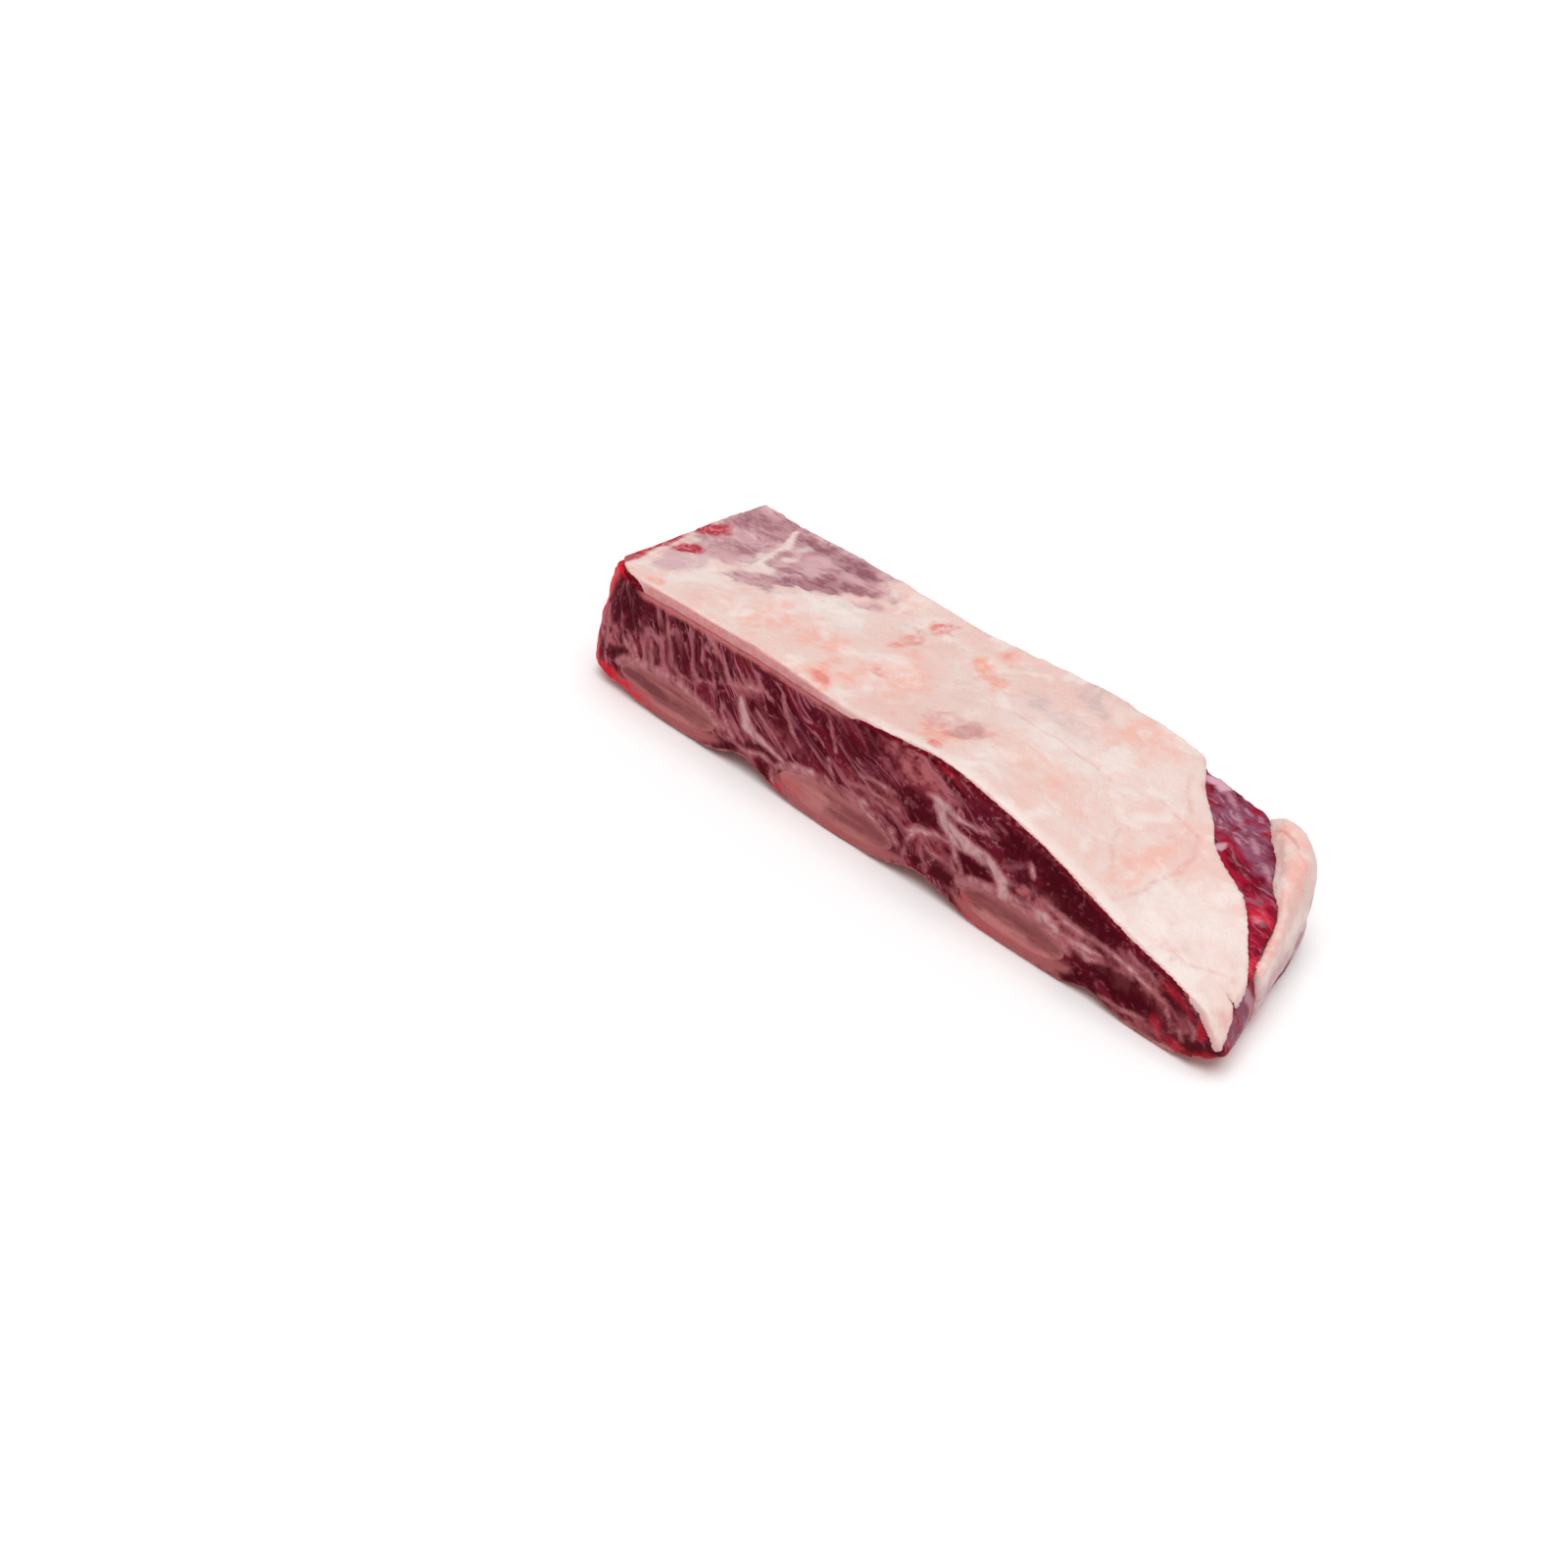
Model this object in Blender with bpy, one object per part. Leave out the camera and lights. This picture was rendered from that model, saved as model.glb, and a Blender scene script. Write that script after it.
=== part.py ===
"""Raw beef short ribs: one slab sawn across three rib bones.

Metres, +Z up. +X runs along the slab from its square end to its slanting end, and the front sawn
face looks along -Y. The origin is under the middle of the slab, on the board.
"""

import math

import bmesh
import bpy
from mathutils import Vector, noise

MM = 0.001

# Driving sizes. Lengths in the profiles below are millimetres from the square end.
SLAB_WIDTH = 56.0
RIB_PLACES = (26.6, 86.6, 141.6)
RIB_HALF_WIDTHS = (19.4, 20.3, 16.8)
RIB_HALF_THICKNESS = 5.8
RIB_COVER = 1.7
RIB_SWING = 2.0
FACE_GAP = 0.35
END_FAT_GAP = 0.55
ORIGIN_X = 95.86

# Height of the slab's top, and of the lean under its fat, along the front and the back face.
TOP_FRONT = ((-5, 34.0), (6, 35.8), (14, 36.6), (60, 36.7), (88, 35.4), (103, 36.4), (116, 37.6), (128, 36.0),
             (143, 32.6), (157, 28.0), (171, 22.8), (184, 19.2), (192, 15.6), (199, 10.6))
TOP_BACK = ((-5, 34.8), (2, 34.9), (14, 33.4), (40, 33.8), (72, 32.6), (108, 33.9), (130, 33.6),
            (144, 32.3), (151, 30.2), (200, 25.0))
LEAN_FRONT = ((-5, 32.2), (14, 33.4), (60, 33.7), (88, 33.6), (103, 34.6), (116, 35.8), (128, 34.2),
              (143, 30.8), (157, 26.2), (171, 21.0), (184, 17.4), (192, 14.0), (199, 9.0))
LEAN_BACK = ((-5, 30.2), (14, 29.8), (40, 30.2), (72, 29.2), (108, 30.4), (130, 30.0), (144, 28.8),
             (150, 28.2), (157, 26.6), (165, 25.0), (171, 23.6), (182, 21.4), (200, 17.0))

# Underside: it rests on the ribs and on the end lobe, and arches up between them.
UNDER = ((-6, 4.0), (8, 2.0), (18, 0.8), (32, 0.6), (42, 1.4), (53, 5.0), (66, 1.4), (78, 0.0),
         (94, 0.0), (104, 2.2), (112, 4.6), (121, 2.4), (130, 0.2), (150, 0.2), (157, 0.8),
         (164.5, 2.4), (172, 0.6), (182, 0.2), (189, 1.8), (195, 4.4), (200, 7.0))

# Across the slab, from front to back: where the fat cap stops, and where the end fat starts.
CAP_END = ((-28, 194.4), (-20, 193.6), (-15, 191.8), (-9, 187.4), (-2, 181.4), (1, 176.8), (3, 171.6),
           (6, 166.6), (13, 160.2), (19, 153.4), (24, 149.6), (28, 146.4))
END_FAT_START = ((-10, 190.6), (-4, 189.0), (2, 186.8), (7, 184.0), (10, 180.6), (14, 177.6),
                 (18, 174.8), (22.5, 169.8), (26.5, 167.0), (30, 164.6))
END_FAT_LOW = 4.6
END_FAT_FRONT = -9.0
END_FAT_CROWN = 3.6
END_FAT_ROWS = 12

# Ends of the slab. The square end leans in from its foot (level 0) to its top (level 1).
SQUARE_END = ((0, -6.0), (0.25, -5.4), (0.45, -3.8), (0.65, -3.0), (0.86, -3.0), (1, -1.8))
CAP_SET_BACK = 2.0
CORNER_RUN = (8.0, 14.0)
CORNER_DEPTH = (3.0, 6.0)
BACK_CORNER_SHARE = 0.1
SLANT_FRONT = 197.9
SLANT_PER_WIDTH = 0.285
SLANT_LEAN = (2.0, 3.6)
SLANT_FOOT = 0.3
SLANT_CORNER_DEPTH = 2.4
SLANT_CORNER_RUN = 7.0

LUMP_HEIGHT = 0.55
LUMP_LENGTH = 26.0
SAW_WAVE = 0.35


def curve_value(points, x):
    """Smooth value at x of a curve through points, which rise along their first number."""
    if x <= points[0][0]:
        return points[0][1]
    if x >= points[-1][0]:
        return points[-1][1]
    k = next(i for i in range(len(points) - 1) if x <= points[i + 1][0])
    x0, y0 = points[k]
    x1, y1 = points[k + 1]
    before = points[max(k - 1, 0)]
    after = points[min(k + 2, len(points) - 1)]
    span = x1 - x0
    slope0 = (y1 - before[1]) / (x1 - before[0]) * span
    slope1 = (after[1] - y0) / (after[0] - x0) * span
    t = (x - x0) / span
    return ((2 * t**3 - 3 * t**2 + 1) * y0 + (t**3 - 2 * t**2 + t) * slope0
            + (3 * t**2 - 2 * t**3) * y1 + (t**3 - t**2) * slope1)


def mix(a, b, t):
    return a + (b - a) * t


def ease(t):
    t = min(max(t, 0.0), 1.0)
    return t * t * (3 - 2 * t)


def across(y):
    """0 on the front face, 1 on the back face."""
    return min(max(y / SLAB_WIDTH + 0.5, 0.0), 1.0)


def lumps(s, y):
    """Low swells that the cap and the lean under it share."""
    return LUMP_HEIGHT * noise.noise(Vector((s / LUMP_LENGTH, y / LUMP_LENGTH, 3.7)))


def lean_height(s, y):
    return mix(curve_value(LEAN_FRONT, s), curve_value(LEAN_BACK, s), ease(across(y))) + lumps(s, y)


def top_height(s, y):
    return mix(curve_value(TOP_FRONT, s), curve_value(TOP_BACK, s), ease(across(y))) + lumps(s, y)


def under_height(s, y):
    low = curve_value(UNDER, s)
    return max(low + 0.8 * math.sin(math.pi * across(y)) * ease((low - 1.6) / 2), 0.0)


def square_end(y, level):
    wave = 0.8 * noise.noise(Vector((0.0, y / 14.0, level * 1.3)))
    return curve_value(SQUARE_END, level) + wave


def slant_end(y, level):
    """Place of the slanting end, whose top edge is set back, and most so at the back."""
    wave = 0.6 * noise.noise(Vector((9.0, y / 12.0, level * 1.6)))
    set_back = mix(*SLANT_LEAN, across(y)) * level**4 + SLANT_FOOT * (1 - level) ** 2
    return SLANT_FRONT - SLANT_PER_WIDTH * (y + SLAB_WIDTH / 2) - set_back + wave


def face_inset(from_square_end, from_slant_end, level, v=1.0):
    """How far a sawn face turns in as it rounds off into either end. The square end's back stays sharp."""
    near = max(0.0, 1 - from_square_end / mix(*CORNER_RUN, level**3))
    far = max(0.0, 1 - from_slant_end / SLANT_CORNER_RUN)
    near_depth = mix(*CORNER_DEPTH, level**3) * mix(1.0, BACK_CORNER_SHARE, v)
    return near_depth * near**2 + SLANT_CORNER_DEPTH * far**2


def slab_point(u, v, level, far_end, set_back=0.0):
    """Length and width position of a slab point, for u along and v across, between its two ends."""
    y_plain = mix(-SLAB_WIDTH / 2, SLAB_WIDTH / 2, v)
    start = square_end(y_plain, level) + set_back
    end = far_end(y_plain, level)
    s = mix(start, end, u)
    inset = face_inset(s - start, slant_end(y_plain, level) - s, level, v)
    saw = SAW_WAVE * noise.noise(Vector((s / 17.0, 5.0, level * 2.5)))
    side = 1 - 2 * v
    return s, y_plain + side * (inset + saw * abs(side))


def place(s, y, z):
    return Vector((s - ORIGIN_X, y, z)) * MM


def grid_block(cuts):
    """A unit block, one corner at the origin, cut into cuts[0] by cuts[1] by cuts[2] cells."""
    mesh = bmesh.new()
    bmesh.ops.create_cube(mesh, size=1.0)
    bmesh.ops.translate(mesh, vec=(0.5, 0.5, 0.5), verts=mesh.verts)
    for axis, count in enumerate(cuts):
        along = [e for e in mesh.edges if abs(e.verts[0].co[axis] - e.verts[1].co[axis]) > 1e-6]
        if count > 1:
            bmesh.ops.subdivide_edges(mesh, edges=along, cuts=count - 1, use_grid_fill=True)
    return mesh


def material(name, color, roughness):
    made = bpy.data.materials.new(name)
    made.use_nodes = True
    shader = made.node_tree.nodes["Principled BSDF"]
    shader.inputs["Base Color"].default_value = (*color, 1.0)
    shader.inputs["Roughness"].default_value = roughness
    shader.inputs["Metallic"].default_value = 0.0
    return made


def add_object(name, mesh, collection, finish=None):
    bmesh.ops.recalc_face_normals(mesh, faces=mesh.faces)
    data = bpy.data.meshes.new(name)
    mesh.to_mesh(data)
    mesh.free()
    data.shade_smooth()
    data.set_sharp_from_angle(angle=math.radians(40))
    if finish is not None:
        data.materials.append(finish)
    obj = bpy.data.objects.new(name, data)
    collection.objects.link(obj)
    return obj


def hide_cutter(obj):
    obj.hide_render = True
    obj.display_type = "WIRE"


def build_lean(parts, finish):
    """The lean, from the underside to the bottom of the fat."""
    mesh = grid_block((54, 14, 7))
    for vert in mesh.verts:
        u, v, level = vert.co
        s, y = slab_point(u, v, level, slant_end)
        vert.co = place(s, y, mix(under_height(s, y), lean_height(s, y), level))
    return add_object("lean_meat", mesh, parts, finish)


def cap_end(y, level):
    return curve_value(CAP_END, y)


def build_fat_cap(parts, finish):
    """The fat that covers the lean as far as the slanting seam, thinnest at the front."""
    mesh = grid_block((48, 14, 1))
    for vert in mesh.verts:
        u, v, level = vert.co
        s, y = slab_point(u, v, 1.0, cap_end, CAP_SET_BACK)
        bottom = lean_height(s, y) + FACE_GAP
        top = max(top_height(s, y), bottom + 1.0)
        vert.co = place(s, y, mix(bottom, top, level))
    return add_object("fat_cap", mesh, parts, finish)


def end_fat_height(s, y):
    """The end fat stands proud of the lean beside it, towards the back."""
    start = curve_value(END_FAT_START, y)
    rise = END_FAT_CROWN * ease((y + 6) / 26) * ease((s - start + 1.0) / 5)
    return lean_height(s, y) + rise


def end_fat_mesh(cuts, grow, reach):
    """The wedge of fat on the slanting end. It grows into the lean, and reaches out of the slab."""
    mesh = grid_block(cuts)
    for vert in mesh.verts:
        u, v, level = vert.co
        row = v * cuts[1]
        y = mix(END_FAT_FRONT, SLAB_WIDTH / 2, min(row / END_FAT_ROWS, 1.0))
        start = curve_value(END_FAT_START, y) - grow
        y += reach * max(row - END_FAT_ROWS, 0.0) - grow * (row < 0.5)
        end = slant_end(min(y, SLAB_WIDTH / 2), level)
        s = mix(start, max(end, start + 2.0) + reach, u)
        high = lean_height(s, y) + reach
        if reach == 0:
            high = end_fat_height(s, y)
            y -= face_inset(1e3, end - s, level) * ease(4 * v - 3)
        vert.co = place(s, y, mix(END_FAT_LOW - grow, high, level))
    return mesh


def build_end_fat(parts, finish):
    return add_object("end_fat", end_fat_mesh((6, END_FAT_ROWS, 6), 0.0, 0.0), parts, finish)


def rib_mesh(centre, rib_half_width, grow, reach):
    """A flat rib: a rounded bar across the slab, wider than thick, that swings and tilts a little."""
    mesh = bmesh.new()
    bmesh.ops.create_cone(mesh, cap_ends=True, segments=28, radius1=1.0, radius2=1.0, depth=1.0)
    along = [e for e in mesh.edges if abs(e.verts[0].co.z - e.verts[1].co.z) > 0.5]
    bmesh.ops.subdivide_edges(mesh, edges=along, cuts=7)
    half_length = SLAB_WIDTH / 2 + reach
    for vert in mesh.verts:
        turn = math.atan2(vert.co.y, vert.co.x)
        y = -vert.co.z * 2 * half_length
        swing = y / SLAB_WIDTH
        half_width = rib_half_width + 0.6 * swing + grow
        half_thickness = RIB_HALF_THICKNESS + grow
        x = half_width * math.copysign(abs(math.cos(turn)) ** 0.86, math.cos(turn))
        z = half_thickness * math.copysign(abs(math.sin(turn)) ** 0.92, math.sin(turn))
        tilt = math.radians(2.5)
        vert.co = place(centre[0] + x * math.cos(tilt) - z * math.sin(tilt) + RIB_SWING * swing, y,
                        centre[1] + x * math.sin(tilt) + z * math.cos(tilt))
    return mesh


def build_ribs(parts, cutters, lean, finish):
    """Three ribs that run through the lean, and the tunnels that they lie in."""
    names = ("rib_bone_left", "rib_bone_middle", "rib_bone_right")
    for name, s, half_width in zip(names, RIB_PLACES, RIB_HALF_WIDTHS):
        centre = (s, curve_value(UNDER, s) + RIB_COVER + RIB_HALF_THICKNESS)
        add_object(name, rib_mesh(centre, half_width, 0.0, 0.4), parts, finish)
        tunnel = add_object(name + "_tunnel", rib_mesh(centre, half_width, FACE_GAP, 6.0), cutters)
        hide_cutter(tunnel)
        cut_from(lean, tunnel)


def cut_from(obj, cutter):
    cut = obj.modifiers.new(cutter.name, "BOOLEAN")
    cut.operation = "DIFFERENCE"
    cut.solver = "EXACT"
    cut.object = cutter


def main():
    for obj in list(bpy.data.objects):
        bpy.data.objects.remove(obj, do_unlink=True)
    parts = bpy.data.collections.new("beef_short_ribs")
    cutters = bpy.data.collections.new("cutters")
    bpy.context.scene.collection.children.link(parts)
    bpy.context.scene.collection.children.link(cutters)

    lean_finish = material("lean", (0.23, 0.018, 0.035), 0.38)
    fat_finish = material("fat", (0.86, 0.66, 0.58), 0.42)
    bone_finish = material("bone", (0.50, 0.24, 0.20), 0.45)

    lean = build_lean(parts, lean_finish)
    build_ribs(parts, cutters, lean, bone_finish)
    notch = add_object("end_fat_seat", end_fat_mesh((3, END_FAT_ROWS + 1, 3), END_FAT_GAP, 8.0), cutters)
    hide_cutter(notch)
    cut_from(lean, notch)
    build_fat_cap(parts, fat_finish)
    build_end_fat(parts, fat_finish)


main()
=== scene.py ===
import math

import bpy
import numpy as np
from mathutils import Matrix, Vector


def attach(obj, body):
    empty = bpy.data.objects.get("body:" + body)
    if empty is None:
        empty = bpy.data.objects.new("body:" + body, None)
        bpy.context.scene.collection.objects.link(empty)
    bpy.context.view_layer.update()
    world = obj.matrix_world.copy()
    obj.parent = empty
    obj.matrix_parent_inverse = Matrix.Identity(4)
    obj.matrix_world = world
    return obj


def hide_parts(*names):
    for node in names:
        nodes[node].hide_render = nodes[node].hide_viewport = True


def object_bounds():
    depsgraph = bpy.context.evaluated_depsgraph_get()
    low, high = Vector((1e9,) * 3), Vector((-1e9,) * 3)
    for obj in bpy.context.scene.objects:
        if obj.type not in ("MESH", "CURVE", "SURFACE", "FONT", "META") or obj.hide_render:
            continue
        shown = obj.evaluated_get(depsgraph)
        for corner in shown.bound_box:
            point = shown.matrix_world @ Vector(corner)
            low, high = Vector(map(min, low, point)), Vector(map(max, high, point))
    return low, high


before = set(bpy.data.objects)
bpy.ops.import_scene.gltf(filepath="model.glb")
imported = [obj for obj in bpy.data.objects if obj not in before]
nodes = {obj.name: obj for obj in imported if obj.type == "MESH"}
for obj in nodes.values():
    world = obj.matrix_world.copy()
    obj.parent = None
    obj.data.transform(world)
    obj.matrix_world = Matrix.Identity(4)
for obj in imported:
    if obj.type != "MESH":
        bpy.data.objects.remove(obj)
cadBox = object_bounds()
for node in nodes.values():
    node.select_set(False)

slabStart = 95.86  # mm from the square end to the middle of the slab
slabHalfWidth = 28.0
boxMargin = 0.02  # mm that every piece keeps from the box of the CAD solids
weldReach = 0.00002  # m, for the loose triangles of a CAD solid
farAway = -50.0  # mm, the depth given to a point that is near no seam
scatterPrimes = (73856093, 19349663, 83492791)


# small helpers for colours, fields of values and meshes

def screenColor(red, green, blue):
    # a colour as a picture editor shows it, turned into Blender's linear values
    def toLinear(value):
        value = value / 255
        return value / 12.92 if value <= 0.04045 else ((value + 0.055) / 1.055) ** 2.4
    return (toLinear(red), toLinear(green), toLinear(blue), 1.0)


def shadedColor(red, green, blue, light=0.76):
    # the same for a face that gets only this share of the light on the top
    return tuple(min(value / light, 0.96) for value in screenColor(red, green, blue)[:3]) + (1.0,)


def smoothStep(low, high, value):
    t = np.clip((value - low) / (high - low), 0, 1)
    return t * t * (3 - 2 * t)


def noiseField(points, size, seed, octaves=1):
    # gradient noise, roughly -0.6 to 0.6, for an array of points in mm
    total = np.zeros(len(points))
    strength = 1.0
    for octave in range(octaves):
        cell = points / size + seed * 7.31
        base = np.floor(cell).astype(np.int64)
        part = cell - base
        blend = part ** 3 * (part * (part * 6 - 15) + 10)
        for corner in np.ndindex(2, 2, 2):
            spot = base + corner
            mixed = seed * 2654435 + octave * 97
            for axis, prime in enumerate(scatterPrimes):
                mixed = mixed ^ (spot[:, axis] * prime)
            mixed = (mixed ^ (mixed >> 13)) * 1274126177 & 0x7FFFFFFF
            mixed = (mixed ^ (mixed >> 15)) * 2246822519 & 0x7FFFFFFF
            away = part - corner
            slopes = enumerate((3, 11, 19))
            dot = sum(((mixed >> shift & 255) / 127.5 - 1) * away[:, axis] for axis, shift in slopes)
            weight = np.prod(np.where(corner, blend, 1 - blend), axis=1)
            total += strength * weight * dot
        size = size / 2
        strength = strength / 2
    return total


def seamField(along, up, path):
    # how far inside a seam each point is, in mm: path rows are (along, up, half width)
    best = np.full(len(along), farAway)
    for (a0, b0, w0), (a1, b1, w1) in zip(path, path[1:]):
        runA, runB = a1 - a0, b1 - b0
        t = np.clip(((along - a0) * runA + (up - b0) * runB) / (runA ** 2 + runB ** 2), 0, 1)
        gap = np.hypot(along - a0 - t * runA, up - b0 - t * runB)
        best = np.maximum(best, w0 + (w1 - w0) * t - gap)
    return best


def deepestSeam(along, up, paths):
    return np.max([seamField(along, up, path) for path in paths], axis=0)


def patchField(along, across, patches, ragged):
    # patches with ragged edges: rows are (along, across, radius along, radius across, turn, strength)
    total = np.zeros(len(along))
    for a, b, radiusA, radiusB, turn, strength in patches:
        cosine, sine = math.cos(math.radians(turn)), math.sin(math.radians(turn))
        u = ((along - a) * cosine + (across - b) * sine) / radiusA
        v = ((across - b) * cosine - (along - a) * sine) / radiusB
        inside = 1 - np.hypot(u, v)
        total = np.maximum(total, strength * smoothStep(-0.28, 0.45, inside + ragged))
    return total


def patchFields(along, across, settings, ragged):
    # one field for each name in the list of how ragged its patches are
    names = settings["raggedness"].items()
    return {name: patchField(along, across, settings[name], share * ragged) for name, share in names}


def onlySelect(obj):
    bpy.ops.object.select_all(action="DESELECT")
    obj.select_set(True)
    bpy.context.view_layer.objects.active = obj


def useModifier(obj, kind, **settings):
    onlySelect(obj)
    modifier = obj.modifiers.new(kind.title(), kind)
    for name, value in settings.items():
        setattr(modifier, name, value)
    bpy.ops.object.modifier_apply(modifier=modifier.name)


def copyNode(nodeName, pieceName, grow=0.0, shorten=1.0):
    # a copy of a CAD solid with its loose triangles merged, so that it can be worked on
    mesh = nodes[nodeName].data.copy()
    piece = bpy.data.objects.new(pieceName, mesh)
    bpy.context.scene.collection.objects.link(piece)
    mesh.materials.clear()
    onlySelect(piece)
    bpy.ops.object.mode_set(mode="EDIT")
    bpy.ops.mesh.select_all(action="SELECT")
    bpy.ops.mesh.remove_doubles(threshold=weldReach)
    if grow:
        bpy.ops.transform.shrink_fatten(value=grow)
    bpy.ops.object.mode_set(mode="OBJECT")
    if shorten != 1.0:
        piece.scale = (1, shorten, 1)
        bpy.ops.object.transform_apply(location=False, rotation=False, scale=True)
    return piece


def meshPoints(obj):
    # places in mm, with the first one measured from the square end, and normals
    count = len(obj.data.vertices)
    points = np.empty(count * 3)
    normals = np.empty(count * 3)
    obj.data.vertices.foreach_get("co", points)
    obj.data.vertices.foreach_get("normal", normals)
    points = points.reshape(-1, 3) * 1000
    points[:, 0] += slabStart
    return points, normals.reshape(-1, 3)


def remeshPiece(piece, settings):
    # an even, softly rounded mesh that is fine enough to carry the relief
    useModifier(piece, "REMESH", mode="VOXEL", voxel_size=settings["voxel"])
    useModifier(piece, "SMOOTH", factor=0.5, iterations=settings["smoothRounds"])
    return meshPoints(piece)


def movePoints(obj, points):
    # every point stays inside the box of the CAD solids
    moved = points.copy()
    moved[:, 0] -= slabStart
    low, high = np.array(cadBox[0]) * 1000 + boxMargin, np.array(cadBox[1]) * 1000 - boxMargin
    obj.data.vertices.foreach_set("co", (np.clip(moved, low, high) / 1000).ravel())
    obj.data.update()


def keepMasks(obj, **masks):
    for name, values in masks.items():
        layer = obj.data.attributes.new(name, "FLOAT", "POINT")
        layer.data.foreach_set("value", np.asarray(values, np.float32))


def keepVector(obj, name, values):
    layer = obj.data.attributes.new(name, "FLOAT_VECTOR", "POINT")
    layer.data.foreach_set("vector", np.asarray(values, np.float32).ravel())


def finishPiece(obj, nodeName, material):
    obj.data.materials.clear()
    obj.data.materials.append(material)
    onlySelect(obj)
    bpy.ops.object.shade_smooth()
    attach(obj, "root")
    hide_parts(nodeName)
    print(obj.name, "ready:", len(obj.data.polygons), "faces")


# helpers for shader nodes

def addNode(tree, kind, settings=None, **values):
    # values go by the name of the socket, or by its number after an i
    node = tree.nodes.new(kind)
    for name, value in (settings or {}).items():
        setattr(node, name, value)
    for name, value in values.items():
        socket = node.inputs[int(name[1:])] if name[0] == "i" and name[1:].isdigit() else node.inputs[name]
        if isinstance(value, bpy.types.NodeSocket):
            tree.links.new(value, socket)
        else:
            socket.default_value = value
    return node


def mathNode(tree, operation, first, second=0.5, third=0.0, clamp=False):
    settings = {"operation": operation, "use_clamp": clamp}
    return addNode(tree, "ShaderNodeMath", settings, i0=first, i1=second, i2=third).outputs[0]


def vectorNode(tree, operation, first, second):
    return addNode(tree, "ShaderNodeVectorMath", {"operation": operation}, i0=first, i1=second).outputs[0]


def noiseNode(tree, place, size, detail, roughness, smear=0.0):
    return addNode(
        tree, "ShaderNodeTexNoise", Vector=place, Scale=size, Detail=detail, Roughness=roughness,
        Distortion=smear).outputs


def mixColors(tree, share, first, second):
    return addNode(tree, "ShaderNodeMix", {"data_type": "RGBA"}, i0=share, i6=first, i7=second).outputs[2]


def tinted(tree, color, tint, mask, share):
    return mixColors(tree, mathNode(tree, "MULTIPLY", mask, share), color, tint)


def rangeNode(tree, value, fromLow, fromHigh, toLow=0.0, toHigh=1.0, kind="SMOOTHSTEP"):
    return addNode(
        tree, "ShaderNodeMapRange", {"interpolation_type": kind}, i0=value, i1=fromLow, i2=fromHigh,
        i3=toLow, i4=toHigh).outputs[0]


def maskOf(tree, name):
    return addNode(tree, "ShaderNodeAttribute", {"attribute_name": name}).outputs["Fac"]


def turnedPlace(tree, place, scale, turn=(0, 0, 0)):
    return addNode(tree, "ShaderNodeMapping", Vector=place, Rotation=turn, Scale=scale).outputs[0]


def layOut(tree):
    # nodes in columns, by how many steps each one is from the end
    steps = {node.name: 0 for node in tree.nodes}
    pairs = [(link.from_node.name, link.to_node.name) for link in tree.links]
    changed = True
    while changed:
        changed = False
        for before, after in pairs:
            if steps[before] <= steps[after]:
                steps[before] = steps[after] + 1
                changed = True
    filled = {}
    for node in tree.nodes:
        column = steps[node.name]
        node.location = (-220 * column, -320 * filled.get(column, 0))
        filled[column] = filled.get(column, 0) + 1


def makeGroup(name, inputs, outputs):
    # an input without a value is a place in space
    group = bpy.data.node_groups.new(name, "ShaderNodeTree")
    for socketName, value in inputs.items():
        kind = "NodeSocketVector" if value is None else "NodeSocketFloat"
        socket = group.interface.new_socket(socketName, in_out="INPUT", socket_type=kind)
        if value is not None:
            socket.default_value = value
    for socketName in outputs:
        group.interface.new_socket(socketName, in_out="OUTPUT", socket_type="NodeSocketFloat")
    return group, group.nodes.new("NodeGroupInput").outputs, group.nodes.new("NodeGroupOutput").inputs


def useGroup(tree, group, **values):
    return addNode(tree, "ShaderNodeGroup", {"node_tree": group}, **values).outputs


def makeSpotGroup():
    # patchy mask: soft spots of a chosen size, more or less smeared
    inputs = {"Place": None, "Size": 1.0, "Detail": 3.0, "Smear": 0.0, "Low": 0.45, "High": 0.6}
    group, given, made = makeGroup("softSpots", inputs, ["Mask"])
    noise = noiseNode(group, given["Place"], given["Size"], given["Detail"], 0.55, given["Smear"])["Fac"]
    group.links.new(rangeNode(group, noise, given["Low"], given["High"]), made["Mask"])
    layOut(group)
    return group


strandForm = {
    # noises are (size, detail, roughness), in grain space, where one unit is one bundle
    "warp": (1.1, 4.0, 0.6),
    "warpReach": 0.9,
    "detail": (1.6, 0.5),
    "gaps": (0.7, 4.0, 0.65),
    "swell": 7.0,
    "edge": (-0.002, 0.03),
}


def makeStrandGroup(form):
    # marbling: wavy strands that thin out and break off
    inputs = {"Grain": None, "Shift": 0.0, "Scale": 1.0, "Width": 0.06, "Gaps": 0.45}
    group, given, made = makeGroup("marblingStrands", inputs, ["Mask"])
    moved = vectorNode(group, "ADD", given["Grain"], given["Shift"])
    warp = noiseNode(group, moved, *form["warp"])["Color"]
    centred = vectorNode(group, "SUBTRACT", warp, (0.5, 0.5, 0.5))
    bent = vectorNode(group, "ADD", moved, vectorNode(group, "MULTIPLY", centred, (form["warpReach"],) * 3))
    level = noiseNode(group, bent, given["Scale"], *form["detail"])["Fac"]
    offset = mathNode(group, "ABSOLUTE", mathNode(group, "SUBTRACT", level, 0.5))
    present = mathNode(group, "SUBTRACT", noiseNode(group, moved, *form["gaps"])["Fac"], given["Gaps"])
    swell = mathNode(group, "MULTIPLY", present, form["swell"], clamp=True)
    inside = mathNode(group, "SUBTRACT", mathNode(group, "MULTIPLY", swell, given["Width"]), offset)
    group.links.new(rangeNode(group, inside, *form["edge"]), made["Mask"])
    layOut(group)
    return group


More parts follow.
